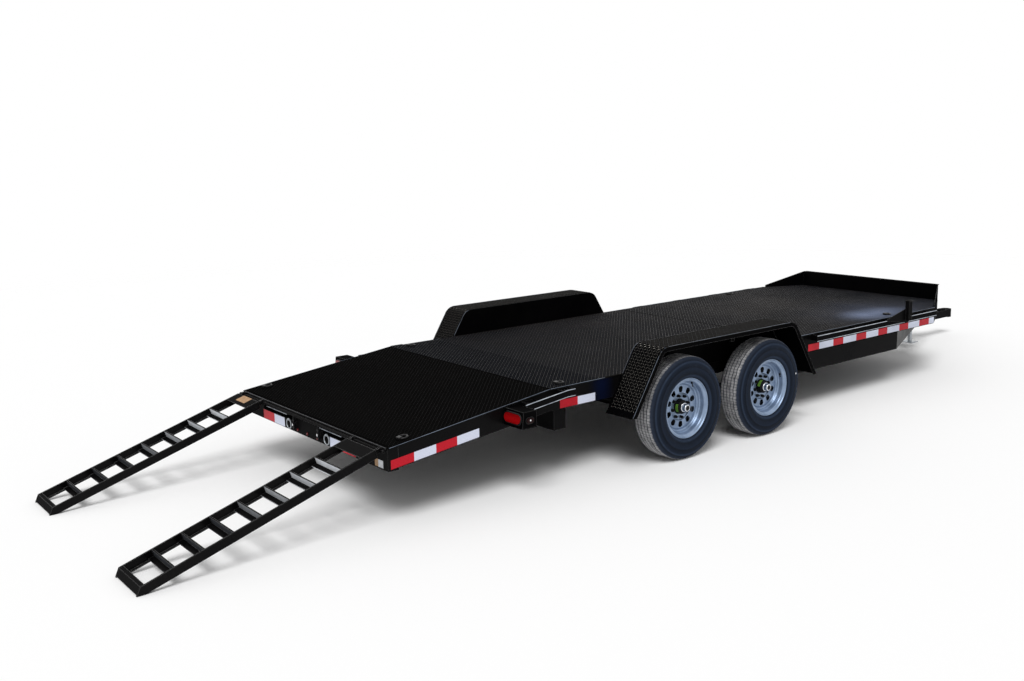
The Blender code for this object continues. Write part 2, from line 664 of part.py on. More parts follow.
box_lean = 0.012
for side, word in ((-1, "right"), (1, "left")):
    outline = [(LIGHT_BOX_X[0], LIGHT_BOX_LOW), (LIGHT_BOX_X[1], LIGHT_BOX_LOW),
               (LIGHT_BOX_X[1], LIGHT_BOX_HIGH), (LIGHT_BOX_X[0] + box_lean, LIGHT_BOX_HIGH)]
    add_node("light_box_" + word, "black_paint",
             [prism(outline, "Y", FRAME_HALF + GAP, LIGHT_BOX_OUT)], side=side)
    tilt = math.atan2(box_lean, LIGHT_BOX_HIGH - LIGHT_BOX_LOW)
    lens = prism(oval(LAMP_LONG, LAMP_TALL, 8), "X", -0.012, -GAP)
    face_x = LIGHT_BOX_X[0] + box_lean * (LAMP_Z - LIGHT_BOX_LOW) / (LIGHT_BOX_HIGH - LIGHT_BOX_LOW)
    moved(lens, (face_x, LAMP_Y, LAMP_Z), Matrix.Rotation(tilt, 3, "Y"))
    add_node("tail_lamp_" + word, "red_lens", [lens], side=side)
    marker = prism(oval(0.058, 0.034, 6), "Y", LIGHT_BOX_OUT + GAP, LIGHT_BOX_OUT + 0.012)
    moved(marker, ((LIGHT_BOX_X[0] + LIGHT_BOX_X[1]) / 2, 0, 0.545))
    add_node("side_marker_" + word, "red_lens", [marker], side=side)


# running gear

def y_of(t):
    """Distance inboard of the rim flange as a model Y on the left side."""
    return RIM_PLANE_Y - t


TYRE_OUTLINE = [(0.2252, -0.003), (0.2252, 0.0087), (0.2073, 0.0127), (0.2073, 0.1673), (0.2252, 0.1713),
                (0.2252, 0.183), (0.290, 0.200), (0.335, 0.195), (0.362, 0.184), (0.3765, 0.168),
                (TYRE_R, 0.148), (TYRE_R, 0.032), (0.3765, 0.012), (0.362, -0.004), (0.335, -0.015),
                (0.290, -TYRE_BULGE)]
RIM_OUTLINE = [(RIM_R, 0.0), (0.216, 0.0), (0.200, 0.012), (0.195, 0.050), (0.173, 0.072), (0.154, 0.068),
               (0.108, 0.068), (0.096, 0.082), (0.060, 0.082), (0.056, 0.034), (0.040, 0.028),
               (0.035, 0.002), (0, -0.001), (0, 0.105), (HUB_BORE_R, 0.105), (HUB_BORE_R, 0.176),
               (0.155, 0.176), (0.155, 0.097), (0.096, 0.097),
               (0.108, 0.076), (0.154, 0.076), (0.178, 0.090), (0.180, 0.115), (0.198, 0.145),
               (0.216, RIM_WIDTH), (RIM_R, RIM_WIDTH), (RIM_R, 0.172), (RIM_SEAT_R, 0.168),
               (0.188, 0.115), (0.188, 0.072), (RIM_SEAT_R, 0.012), (RIM_R, 0.008)]
DISC_FRONT, DISC_BACK = 5, 19   # flat strips of the outline that the hand holes go through

for x, end in ((AXLE_X, "front"), (-AXLE_X, "rear")):
    for side, word in ((-1, "right"), (1, "left")):
        node = "%s_%s" % (end, word)
        hub = bpy.data.objects.new("hub_centre_" + node, None)
        hub.location = (x, 0, TYRE_R)
        hub.parent = root
        cutters.objects.link(hub)
        tyre = revolve([(r, y_of(t)) for r, t in TYRE_OUTLINE], TYRE_STEPS, "Y")
        add_node("tyre_" + node, "tyre_rubber", [tyre], side=side, parent=hub)
        rim = revolve([(r, y_of(t)) for r, t in RIM_OUTLINE], RIM_STEPS, "Y",
                      (DISC_FRONT, DISC_BACK, HAND_HOLES, HAND_HOLE_R))
        add_node("rim_" + node, "silver_paint", [rim], side=side, parent=hub)
    seat = AXLE_TUBE_Z + AXLE_TUBE_R
    axle = [cylinder(AXLE_TUBE_R, 20, "Y", -SPRING_Y + 0.030, SPRING_Y - 0.030, (x, 0, AXLE_TUBE_Z))]
    for side in (1, -1):
        def span(a, b):
            return sorted((side * a, side * b))
        y0, y1 = span(SPRING_Y - 0.045, SPRING_Y + 0.040)
        axle.append(box(x - 0.030, x + 0.030, y0, y1, AXLE_TUBE_Z - 0.034, seat + 0.006))
        y0, y1 = span(SPRING_Y + 0.024, y_of(0.218))
        axle.append(box(x - 0.028, x + 0.028, y0, y1, AXLE_TUBE_Z - 0.030, TYRE_R + 0.026))
        y0, y1 = span(y_of(0.228), y_of(0.192))
        axle.append(cylinder(0.030, 16, "Y", y0, y1, (x, 0, TYRE_R)))
        y0, y1 = span(y_of(0.196), y_of(0.186))
        axle.append(cylinder(0.160, 28, "Y", y0, y1, (x, 0, TYRE_R)))
        y0, y1 = span(y_of(0.188), y_of(0.108))
        axle.append(cylinder(SPINDLE_R, 20, "Y", y0, y1, (x, 0, TYRE_R)))
    add_node("axle_" + end, "black_paint", axle)


def leaf_spring(centre_x):
    """Three stacked leaves with an eye at each end."""
    seat = AXLE_TUBE_Z + AXLE_TUBE_R + 0.006 + GAP
    sag = SPRING_EYE_Z - (seat + 0.030)
    pieces = []
    for half, level, thick in ((SPRING_HALF, 0.020, 0.0105), (0.235, 0.010, 0.0105), (0.140, 0.0, 0.0105)):
        top, low = [], []
        for k in range(9):
            u = -half + 2 * half * k / 8
            z = seat + level + sag * (u / SPRING_HALF) ** 2
            low.append((centre_x + u, z))
            top.append((centre_x + u, z + thick))
        pieces.append(prism(low + top[::-1], "Y", SPRING_Y - SPRING_WIDTH / 2, SPRING_Y + SPRING_WIDTH / 2))
    for u in (-SPRING_HALF, SPRING_HALF):
        pieces.append(cylinder(SPRING_EYE_R, 16, "Y", SPRING_Y - SPRING_WIDTH / 2 + 0.0005,
                               SPRING_Y + SPRING_WIDTH / 2 - 0.0005, (centre_x + u, 0, SPRING_EYE_Z)))
    return pieces


for side, word in ((-1, "right"), (1, "left")):
    equalizer = prism([(-EQUALIZER_HALF - 0.022, SPRING_EYE_Z - 0.012), (EQUALIZER_HALF + 0.022, SPRING_EYE_Z - 0.012),
                       (EQUALIZER_HALF + 0.022, SPRING_EYE_Z + 0.016), (0.040, SPRING_EYE_Z + 0.044),
                       (-0.040, SPRING_EYE_Z + 0.044), (-EQUALIZER_HALF - 0.022, SPRING_EYE_Z + 0.016)], "Y",
                      SPRING_Y - SPRING_WIDTH / 2 + 0.004, SPRING_Y + SPRING_WIDTH / 2 - 0.004)
    add_node("suspension_" + word, "black_paint",
             [equalizer] + leaf_spring(AXLE_X) + leaf_spring(-AXLE_X), side=side)


# ramps

def ramp_pieces():
    """Built flat, hinge line at the origin, running back along -X; turned down afterwards."""
    pieces = []
    high, low = RAMP_RAIL_HIGH, -RAMP_RAIL_LOW
    for edge, inner in ((RAMP_OUT, -1), (RAMP_IN, 1)):
        web = edge + inner * RAMP_WEB
        toe = edge + inner * RAMP_FLANGE
        ring = [(edge, low), (edge, high), (web, high), (web, low + STEEL), (toe, low + STEEL), (toe, low)]
        pieces.append(prism(ring, "X", -RAMP_LONG, -RAMP_HEAD[0]))
        foot = [(-RAMP_LONG + 0.005, high), (-RAMP_TIP, high), (-RAMP_FOOT, RAMP_FOOT_LOW), (-RAMP_LONG, low),
                (-RAMP_LONG + 0.005, low)]
        pieces.append(prism(foot, "Y", *sorted((edge, edge + inner * (RAMP_WEB + 0.006)))))
    across = (RAMP_IN + 0.003, RAMP_OUT - 0.003)
    for k in range(RUNG_COUNT):
        u = -(RUNG_FIRST + RUNG_STEP * k)
        outline = [(u + RUNG_THICK, high - 0.002), (u, high - 0.002), (u, low + 0.0115), (u - RUNG_TOE, low + 0.0115),
                   (u - RUNG_TOE, low + 0.0045), (u + RUNG_THICK, low + 0.0045)]
        pieces.append(prism(outline, "Y", *across))
    pieces.append(box(-RAMP_HEAD[1], -RAMP_HEAD[0], *across, high - 0.007, high - 0.001))
    lean = Vector((RAMP_TIP - RAMP_FOOT, RAMP_FOOT_LOW - high)).normalized()
    inward = Vector((-lean.y, lean.x)) * STEEL
    top, end = Vector((-RAMP_TIP, high - 0.0005)), Vector((-RAMP_TIP, high)) + lean * 0.048
    plate = [top, end, end + inward, top + inward - Vector((0, 0.004)), (-RAMP_TIP + 0.025, high - STEEL),
             (-RAMP_TIP + 0.025, high - 0.0005)]
    pieces.append(prism([tuple(point) for point in plate], "Y", *across))
    hook = [(0.0103 * math.cos(math.radians(a)), 0.0103 * math.sin(math.radians(a)))
            for a in range(250, -1, -25)]
    hook_out = [(0.0195 * math.cos(math.radians(a)), 0.0195 * math.sin(math.radians(a)))
                for a in range(0, 251, 25)]
    for y in (RAMP_IN + 0.002, RAMP_OUT - 0.022):
        pieces.append(prism(hook_out + hook, "Y", y, y + 0.020))
        pieces.append(box(-0.060, -0.0125, y, y + 0.020, -0.012, 0.018))
    return pieces


for side, word in ((-1, "right"), (1, "left")):
    line = bpy.data.objects.new("ramp_hinge_" + word, None)
    line.location = (HINGE_X, 0, HINGE_Z)
    line.rotation_euler = (0, -RAMP_ANGLE, 0)
    line.parent = root
    cutters.objects.link(line)
    add_node("ramp_" + word, "black_paint", ramp_pieces(), side=side, parent=line)
    spot = SLOT_IN - 0.024
    latch = [cylinder(0.0075, 12, "Z", 0.370, 0.470, (REAR_X - 0.016, spot, 0)),
             box(REAR_X - 0.024, REAR_X - GAP, spot - 0.014, spot + 0.014, 0.390, 0.400),
             box(REAR_X - 0.024, REAR_X - GAP, spot - 0.014, spot + 0.014, 0.440, 0.450),
             cylinder(0.0115, 12, "Z", 0.404, 0.430, (REAR_X - 0.016, spot, 0))]
    add_node("ramp_latch_" + word, "bare_steel", latch, side=side)

# tie-down rings: place, x, distance in from the side channel
D_RINGS = [("rear", -2.690, 0.078), ("middle", -1.400, 0.088), ("front", 2.640, 0.088)]
for side, word in ((-1, "right"), (1, "left")):
    for place, x, inset in D_RINGS:
        ring = torus(0.030, 0.0065, 14, 6, "Z")
        lug = box(-0.012, 0.012, -0.026, 0.026, -0.0065, 0.0115)
        slope = math.atan2(RAIL_TOP - REAR_TOP, BREAK_X - REAR_X) if x < BREAK_X else 0.0
        z = falling(x, DECK_TOP, REAR_TOP + GAP + DECK_THICK + 0.0002) + 0.0070 / math.cos(slope)
        turn = Matrix.Rotation(-slope, 3, "Y")
        moved(lug, (-0.030, 0, 0))
        for bm in (ring, lug):
            moved(bm, (x, FRAME_HALF - inset, z), turn)
        add_node("d_ring_%s_%s" % (place, word), "bare_steel", [ring, lug], side=side)
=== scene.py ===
# %% [markdown]
# # A car hauler trailer, dressed for its picture
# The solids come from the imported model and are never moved. This script gives them their paint, and adds what is
# too fine for the solids: tread plate, tyre tread, wheel nuts, tape, lamps, weld beads and bolts.

# %% Load the frame
import json
import math

import bmesh
import bpy
import numpy as np
from mathutils import Matrix, Vector


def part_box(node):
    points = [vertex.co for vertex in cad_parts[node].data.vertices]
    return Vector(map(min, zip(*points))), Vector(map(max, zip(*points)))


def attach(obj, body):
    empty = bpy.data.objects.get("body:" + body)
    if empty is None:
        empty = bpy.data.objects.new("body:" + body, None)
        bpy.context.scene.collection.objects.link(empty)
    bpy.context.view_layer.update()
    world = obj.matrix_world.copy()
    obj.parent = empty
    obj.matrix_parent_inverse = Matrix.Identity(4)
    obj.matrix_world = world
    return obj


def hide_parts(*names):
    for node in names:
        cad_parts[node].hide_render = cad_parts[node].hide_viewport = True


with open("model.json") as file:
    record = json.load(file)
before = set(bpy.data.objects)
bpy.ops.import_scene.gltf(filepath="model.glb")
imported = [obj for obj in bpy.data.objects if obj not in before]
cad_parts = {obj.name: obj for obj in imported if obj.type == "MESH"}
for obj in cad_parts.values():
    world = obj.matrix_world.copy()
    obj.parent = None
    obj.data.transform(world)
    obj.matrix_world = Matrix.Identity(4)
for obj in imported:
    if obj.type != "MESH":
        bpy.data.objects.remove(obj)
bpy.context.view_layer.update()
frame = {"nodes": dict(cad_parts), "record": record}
nodes = frame["nodes"]
scene = bpy.context.scene

# %% [markdown]
# ## One datum for every piece
# The trailer was measured from a point on the ground midway between its axles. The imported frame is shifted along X
# so that its box is centred, so the shift is read back from a wheel, and every place below is written from the datum.

# %% Datum and the sizes that several pieces share
AXLE_X = 0.468     # each axle from the datum, fore and aft
wheel_low, wheel_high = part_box("tyre_front_left")
SHIFT = (wheel_low.x + wheel_high.x) / 2 - AXLE_X
TYRE_R = wheel_high.z / 2
RIM_PLANE_Y = 1.278                          # outer face of the rims
FRAME_HALF, DECK_HALF = 1.018, 1.022         # outer face of the side channels, edge of the deck
DECK_TOP, DECK_REAR_TOP = 0.660, 0.5042      # the level deck, and the end of the falling tail
BREAK_X, REAR_X = -1.557, -2.851             # where the deck starts to fall, and where it ends
CORNER_X, NOSE_X, NOSE_HALF = 3.320, 3.760, 0.802      # the cut corners at the front of the deck
HINGE = Vector((-2.877, 0, 0.488))           # middle of the rod that the ramps hook on
RAMP_SLOPE = math.radians(17.1834)
RAMP_IN, RAMP_OUT = 0.634, 0.978             # the two sides of a ramp
FALL = math.atan2(DECK_TOP - DECK_REAR_TOP, BREAK_X - REAR_X)
SIDES = ((-1, "right"), (1, "left"))
print("datum shift %.4f m, tyre radius %.3f m" % (SHIFT, TYRE_R))

# %% [markdown]
# ## The camera
# The photograph was taken from behind the right rear corner, a little over 2 m up. Its place and angles came from
# fitting the trailer's straight edges and wheel circles. The shift is only what the photograph's framing needs.

# %% Camera
FOCAL_PX, PHOTO_WIDTH, SENSOR_MM = 1044.75, 1024, 36.0
CAMERA_X, CAMERA_Y, CAMERA_Z = -6.026, -6.252, 2.324
yaw, pitch, roll = (math.radians(a) for a in (51.501, -10.245, -1.1106))
ahead = Vector((math.cos(pitch) * math.cos(yaw), math.cos(pitch) * math.sin(yaw), math.sin(pitch)))
level_right = ahead.cross(Vector((0, 0, 1))).normalized()
level_up = level_right.cross(ahead)
right = level_right * math.cos(roll) + level_up * math.sin(roll)
up = -level_right * math.sin(roll) + level_up * math.cos(roll)
lens = bpy.data.cameras.new("photo_camera")
lens.sensor_width = SENSOR_MM
lens.lens = FOCAL_PX / PHOTO_WIDTH * SENSOR_MM
lens.shift_x, lens.shift_y = -0.00128, -0.01174
camera = bpy.data.objects.new("photo_camera", lens)
camera.matrix_world = Matrix.Translation((CAMERA_X + SHIFT, CAMERA_Y, CAMERA_Z)) @ Matrix(
    (right, up, -ahead)).transposed().to_4x4()
scene.collection.objects.link(camera)
scene.camera = camera
print("camera at", tuple(round(c, 3) for c in camera.matrix_world.translation))

# %% [markdown]
# ## Colour and node helpers
# Paint charts and screens give colours as sRGB hex, while shaders count light linearly, so one function turns the
# first into the second. A second function adds a node with its settings and its links, so that a material reads as
# a list of what happens to the surface.


# %% Colour and node helpers
def colour(hex_text):
    """An sRGB hex colour as linear RGBA."""
    parts = [int(hex_text[i:i + 2], 16) / 255 for i in (1, 3, 5)]
    return [c / 12.92 if c <= 0.04045 else ((c + 0.055) / 1.055) ** 2.4 for c in parts] + [1.0]


def put(tree, kind, sockets=None, stops=(), **settings):
    """Add a node; a socket takes a value, or (node, output) for a link, and stops are a ramp's (place, hex)."""
    node = tree.nodes.new(kind)
    for name, value in settings.items():
        setattr(node, name, value)
    for name, value in (sockets or {}).items():
        socket = node.inputs[name]
        if isinstance(value, tuple) and hasattr(value[0], "outputs"):
            tree.links.new(value[0].outputs[value[1]], socket)
        else:
            socket.default_value = value
    if stops:
        elements = node.color_ramp.elements
        while len(elements) < len(stops):
            elements.new(0.5)
        for element, (place, hex_text) in zip(elements, stops):
            element.position, element.color = place, colour(hex_text)
    return node


def finish_named(name, **surface):
    """An empty material with its Principled shader, set directly on its sockets."""
    mat = bpy.data.materials.new(name)
    mat.use_nodes = True
    tree = mat.node_tree
    shader = tree.nodes["Principled BSDF"]
    for key, value in surface.items():
        shader.inputs[key.replace("_", " ")].default_value = value
    return mat, tree, shader


def wire(tree, shader, **sources):
    """Link (node, output) pairs to the shader's sockets; a socket's blanks are written as underscores."""
    for name, (node, output) in sources.items():
        tree.links.new(node.outputs[output], shader.inputs[name.replace("_", " ")])


def mm(size):
    """Texture scale that puts one feature in each size millimetres."""
    return 1000.0 / size


# %% [markdown]
# ## Black enamel on steel
# The frame is steel, blasted and sprayed with a two-part black enamel. It dries to a semi-gloss skin with a slight
# orange peel, and road dust settles on it unevenly. Real orange peel has a 2 to 3 mm pitch, too fine to show from
# eight metres, so it is drawn at 14 mm. Rolled and folded edges are round, and the Bevel node gives them the thin
# line of light that the photograph shows along every channel. The film of dust dulls the reflection at a glancing
# angle, where a clean gloss paint would turn white, so the reflection fades as a face turns away from the eye.


# %% Black enamel
def enamel(name, base, dusty, gloss, dust_share, reflect, edge_shine, edge_mm=4.0, peel_mm=14, fading=3.0,
           tint="#ffffff"):
    """Fading is how fast the reflection dies as the face turns away; tint is the colour it reflects."""
    mat, tree, shader = finish_named(name, IOR=1.5, Specular_Tint=colour(tint))
    place = put(tree, "ShaderNodeTexCoord")
    cloud = put(tree, "ShaderNodeTexNoise", {"Vector": (place, "Object"), "Scale": mm(420), "Detail": 6.0,
                                             "Roughness": 0.62})
    grit = put(tree, "ShaderNodeTexNoise", {"Vector": (place, "Object"), "Scale": mm(9), "Detail": 3.0})
    both = put(tree, "ShaderNodeMath", {0: (cloud, "Fac"), 1: (grit, "Fac")}, operation="MULTIPLY")
    amount = put(tree, "ShaderNodeMapRange", {"Value": (both, "Value"), "From Min": 0.14, "From Max": 0.42,
                                              "To Min": 0.0, "To Max": dust_share})
    paint = put(tree, "ShaderNodeMix", {"Factor": (amount, "Result"), 6: colour(base), 7: colour(dusty)},
                data_type="RGBA")
    dull = put(tree, "ShaderNodeMapRange", {"Value": (cloud, "Fac"), "From Min": 0.3, "From Max": 0.7,
                                            "To Min": gloss - 0.06, "To Max": gloss + 0.10})
    edge = put(tree, "ShaderNodeBevel", {"Radius": edge_mm / 1000.0}, samples=4)
    flat = put(tree, "ShaderNodeNewGeometry")
    bend = put(tree, "ShaderNodeVectorMath", {0: (edge, "Normal"), 1: (flat, "Normal")}, operation="DOT_PRODUCT")
    on_edge = put(tree, "ShaderNodeMapRange", {"Value": (bend, "Value"), "From Min": 0.985, "From Max": 0.72,
                                               "To Max": edge_shine})
    turn = put(tree, "ShaderNodeLayerWeight", {"Blend": 0.5})
    face_on = put(tree, "ShaderNodeMath", {0: 1.0, 1: (turn, "Facing")}, operation="SUBTRACT")
    fade = put(tree, "ShaderNodeMath", {0: (face_on, "Value"), 1: fading}, operation="POWER")
    shine = put(tree, "ShaderNodeMath", {0: (fade, "Value"), 1: reflect, 2: (on_edge, "Result")},
                operation="MULTIPLY_ADD")
    peel = put(tree, "ShaderNodeTexNoise", {"Vector": (place, "Object"), "Scale": mm(peel_mm), "Detail": 2.0})
    skin = put(tree, "ShaderNodeBump", {"Height": (peel, "Fac"), "Strength": 0.10, "Distance": 0.0012,
                                        "Normal": (edge, "Normal")})
    wire(tree, shader, Base_Color=(paint, 2), Roughness=(dull, "Result"), Specular_IOR_Level=(shine, "Value"),
         Normal=(skin, "Normal"))
    return mat


# The frame; its tongue, turned from the sun; and the fenders, bulkhead and light boxes in a darker copy, painted shade.
black_enamel = enamel("black_enamel_on_steel", "#060607", "#131212", 0.30, 0.75, 0.10, 0.60)
tongue_enamel = enamel("black_enamel_on_tongue", "#08080a", "#171616", 0.30, 0.75, 0.02, 0.30, fading=0.0)
shaded_enamel = enamel("black_enamel_darkened_as_painted_shade", "#030304", "#0b0a0a", 0.26, 0.6, 0.03, 0.8, edge_mm=5.0)
# Rub rails keep a high gloss between straps. The deck is dulled by wheels. Its tail lies in its own dark, so it gets a
# darker copy of the deck's paint, which is painted shade.
rail_enamel = enamel("black_enamel_on_rub_rails", "#050507", "#111010", 0.24, 0.75, 0.06, 0.40, edge_mm=3.0)
deck_enamel = enamel("black_enamel_walked_on", "#090909", "#1c1a18", 0.46, 1.0, 0.06, 0.10, edge_mm=1.5)
tail_enamel = enamel("black_enamel_on_tail", "#040404", "#0a0909", 0.46, 1.0, 0.010, 0.05, edge_mm=1.5)
# The tops of the lugs are polished by what rolls and walks over them, so they mirror the sky. The blue-grey of that
# sky is a tint on their reflection, a painted reflection colour.
lug_enamel = enamel("black_enamel_polished_by_shoes", "#0b0b0c", "#272524", 0.32, 1.0, 0.48, 0.05, edge_mm=0.6,
                    fading=1.0, tint="#a9bbe0")
# The tail's lugs get a darker copy too, painted shade.
tail_lug_enamel = enamel("black_enamel_on_tail_lugs", "#050505", "#0f0e0d", 0.40, 1.0, 0.05, 0.05, edge_mm=0.6,
                         fading=1.0)
# The fender's lugs have their reflection tinted warm, a painted colour for their glints.
fender_lug_enamel = enamel("black_enamel_on_fender_lugs", "#080808", "#1f1c1a", 0.18, 0.8, 1.5, 0.08, edge_mm=0.6,
                           fading=3.2, tint="#ebe6dc")
ramp_enamel = enamel("black_enamel_driven_on", "#060607", "#131212", 0.30, 0.8, 0.10, 1.2, edge_mm=5.0)
print("enamels made")

# %% [markdown]
# ## Painted reflections
# The faces of the ramps' rungs that look down the ramp are painted light grey, a painted reflection of the sky. And a
# black gloss shows mostly what stands round it: pale sky low in the front of the deck, and the dark bulkhead just
# before its foot. A studio has neither, so soft patches of both are painted in as painted reflections, each from the
# distance to its centre and broken up by a slow noise.


# %% Painted reflections
def cover(mat, amount, over):
    """Lay a colour, or (node, output), over the paint by an amount that is (node, output)."""
    tree = mat.node_tree
    base = tree.nodes["Principled BSDF"].inputs["Base Color"]
    paint = base.links[0].from_socket
    both = put(tree, "ShaderNodeMix", {"Factor": amount, 7: over}, data_type="RGBA")
    tree.links.new(paint, both.inputs[6])
    tree.links.new(both.outputs[2], base)


def paint_sky_on_faces(mat, facing, near, far, near_hex, far_hex):
    """Painted reflection: grey on faces that look one way, from near to far along X in the object's own frame."""
    tree = mat.node_tree
    place = put(tree, "ShaderNodeTexCoord")
    meet = put(tree, "ShaderNodeVectorMath", {0: (place, "Normal"), 1: facing}, operation="DOT_PRODUCT")
    hit = put(tree, "ShaderNodeMapRange", {"Value": (meet, "Value"), "From Min": 0.90, "From Max": 0.98})
    axes = put(tree, "ShaderNodeSeparateXYZ", {"Vector": (place, "Object")})
    along = put(tree, "ShaderNodeMapRange", {"Value": (axes, "X"), "From Min": near, "From Max": far})
    streak = put(tree, "ShaderNodeTexNoise", {"Vector": (place, "Object"), "Scale": mm(60), "Detail": 6.0})
    patchy = put(tree, "ShaderNodeMapRange", {"Value": (streak, "Fac"), "From Min": 0.25, "From Max": 0.60,
                                              "To Min": 0.80})
    begun = put(tree, "ShaderNodeMapRange", {"Value": (axes, "X"), "From Min": near + 0.06, "From Max": near + 0.04})
    amount = put(tree, "ShaderNodeMath", {0: (hit, "Result"), 1: (patchy, "Result")}, operation="MULTIPLY")
    amount = put(tree, "ShaderNodeMath", {0: (amount, "Value"), 1: (begun, "Result")}, operation="MULTIPLY")
    grey = put(tree, "ShaderNodeMix", {"Factor": (along, "Result"), 6: colour(near_hex), 7: colour(far_hex)},
               data_type="RGBA")
    cover(mat, (amount, "Value"), (grey, 2))


def paint_reflection_patch(mat, centre, half_x, half_y, shine_hex):
    """A painted reflection: a soft patch of what the paint mirrors, strongest at one place and gone at its half sizes.
    """
    tree = mat.node_tree
    place = put(tree, "ShaderNodeTexCoord")
    away = put(tree, "ShaderNodeVectorMath", {0: (place, "Object"), 1: centre}, operation="SUBTRACT")
    scaled = put(tree, "ShaderNodeVectorMath", {0: (away, "Vector"), 1: (1 / half_x, 1 / half_y, 0)},
                 operation="MULTIPLY")
    reach = put(tree, "ShaderNodeVectorMath", {0: (scaled, "Vector")}, operation="LENGTH")
    amount = put(tree, "ShaderNodeMapRange", {"Value": (reach, "Value"), "From Min": 1.0, "From Max": 0.0},
                 interpolation_type="SMOOTHSTEP")
    cloud = put(tree, "ShaderNodeTexNoise", {"Vector": (place, "Object"), "Scale": mm(500), "Detail": 4.0})
    broken = put(tree, "ShaderNodeMapRange", {"Value": (cloud, "Fac"), "From Min": 0.35, "From Max": 0.60,
                                              "To Min": 0.45})
    share = put(tree, "ShaderNodeMath", {0: (amount, "Result"), 1: (broken, "Result")}, operation="MULTIPLY")
    cover(mat, (share, "Value"), colour(shine_hex))


# Painted reflections: sky in the front of the deck, brightest by the front ring, and the black bulkhead mirrored as a
# dark patch before its foot. The sheet is measured from the middle of the frame and its lugs from the datum, so the
# sheet's places are shifted.
paint_reflection_patch(deck_enamel, (2.90 + SHIFT, -0.74, DECK_TOP), 1.25, 0.80, "#3a4152")
paint_reflection_patch(lug_enamel, (3.60 + SHIFT, 0, DECK_TOP), 4.60, 4.60, "#4e4b49")
for paint, moved, sky, shade in ((deck_enamel, SHIFT, "#6d7892", "#050506"), (lug_enamel, 0, "#8590a8", "#0b0b0c")):
    paint_reflection_patch(paint, (2.64 + moved, -0.83, DECK_TOP), 0.62, 0.32, sky)
    paint_reflection_patch(paint, (3.72 + moved, 0, DECK_TOP), 1.32, 2.80, shade)
# A painted reflection: a touch of deep blue on the side channel, just behind the fender.
paint_reflection_patch(black_enamel, (-1.08 + SHIFT, -FRAME_HALF, 0.56), 0.14, 0.14, "#0a1128")
# Painted reflection of the sky: the faces that look down the ramp are painted light grey, most of all near the hinge.
paint_sky_on_faces(ramp_enamel, (-math.cos(RAMP_SLOPE), 0, -math.sin(RAMP_SLOPE)), HINGE.x + SHIFT - 0.25, HINGE.x + SHIFT - 0.95,
      "#f0f4fa", "#3f4145")
print("wear and mirrored light laid on")

# %% [markdown]
# ## Tyre rubber
# Tyre rubber is carbon black and oil, moulded under heat. The sidewall is blue-black, its blue a painted reflection of
# the sky, while the tread, which has rolled over gravel, is grey with dust, so the colour follows the distance from the
# wheel's axis. The moulded rings of the sidewall are drawn as light bands on their ridges and dark bands between, as
# painted highlight and shade. The ribs are cut across by thin sipes, too fine to model, and a saw wave of the angle
# round the wheel draws them.

# %% Tyre rubber
SIPES = 105                              # one every 23 mm round the tread
TREAD_FROM, TREAD_TO = 0.3755, 0.3800    # the radii between which the sidewall gives way to the tread
WALL_FROM, WALL_TO = 0.225, 0.375        # the radii of the moulded rings
tyre_rubber, tree, shader = finish_named("tyre_rubber_sidewall_and_tread", Specular_IOR_Level=0.08, IOR=1.5)
place = put(tree, "ShaderNodeTexCoord")
axes = put(tree, "ShaderNodeSeparateXYZ", {"Vector": (place, "Object")})
flat = put(tree, "ShaderNodeCombineXYZ", {"X": (axes, "X"), "Z": (axes, "Z")})
reach = put(tree, "ShaderNodeVectorMath", {0: (flat, "Vector")}, operation="LENGTH")
on_tread = put(tree, "ShaderNodeMapRange", {"Value": (reach, "Value"), "From Min": TREAD_FROM, "From Max": TREAD_TO})
dust = put(tree, "ShaderNodeTexNoise", {"Vector": (place, "Object"), "Scale": mm(55), "Detail": 8.0,
                                        "Roughness": 0.7})
dusty_tread = put(tree, "ShaderNodeValToRGB", {"Fac": (dust, "Fac")},
                  [(0.32, "#5b5b5d"), (0.50, "#969698"), (0.66, "#b9b9ba")])
# Painted reflection: the blue in the sidewall's black.
side_wall = put(tree, "ShaderNodeValToRGB", {"Fac": (dust, "Fac")},
                [(0.30, "#0e141e"), (0.60, "#161d2a"), (0.85, "#252c38")])
turn = put(tree, "ShaderNodeMath", {0: (axes, "Z"), 1: (axes, "X")}, operation="ARCTAN2")
count = put(tree, "ShaderNodeMath", {0: (turn, "Value"), 1: SIPES / math.pi}, operation="MULTIPLY")
saw = put(tree, "ShaderNodeMath", {0: (count, "Value"), 1: 1.0}, operation="PINGPONG")
cut = put(tree, "ShaderNodeMapRange", {"Value": (saw, "Value"), "From Min": 0.08, "From Max": 0.20})
sliced = put(tree, "ShaderNodeMix", {"Factor": (cut, "Result"), 6: colour("#4b4c50"), 7: (dusty_tread, "Color")},
             data_type="RGBA")
# Painted highlight and shade: light bands on the moulded rings' ridges and dark bands between.
rings = put(tree, "ShaderNodeMapRange", {"Value": (reach, "Value"), "From Min": WALL_FROM, "From Max": WALL_TO})
ring_light_and_shade = put(tree, "ShaderNodeValToRGB", {"Fac": (rings, "Result")},
                [(0.0, "#141b26"), (0.10, "#344156"), (0.20, "#0b1119"), (0.48, "#1c2636"), (0.55, "#090e15"),
                 (0.72, "#18212f"), (0.80, "#3a475c"), (0.86, "#0e141d"), (1.0, "#3a4252")])
wall = put(tree, "ShaderNodeMix", {"Factor": (dust, "Fac"), 6: (ring_light_and_shade, "Color"), 7: (side_wall, "Color")},
           data_type="RGBA")
rubber = put(tree, "ShaderNodeMix", {"Factor": (on_tread, "Result"), 6: (wall, 2), 7: (sliced, 2)}, data_type="RGBA")
grain = put(tree, "ShaderNodeTexNoise", {"Vector": (place, "Object"), "Scale": mm(5), "Detail": 4.0})
dull = put(tree, "ShaderNodeMapRange", {"Value": (grain, "Fac"), "To Min": 0.52, "To Max": 0.86})
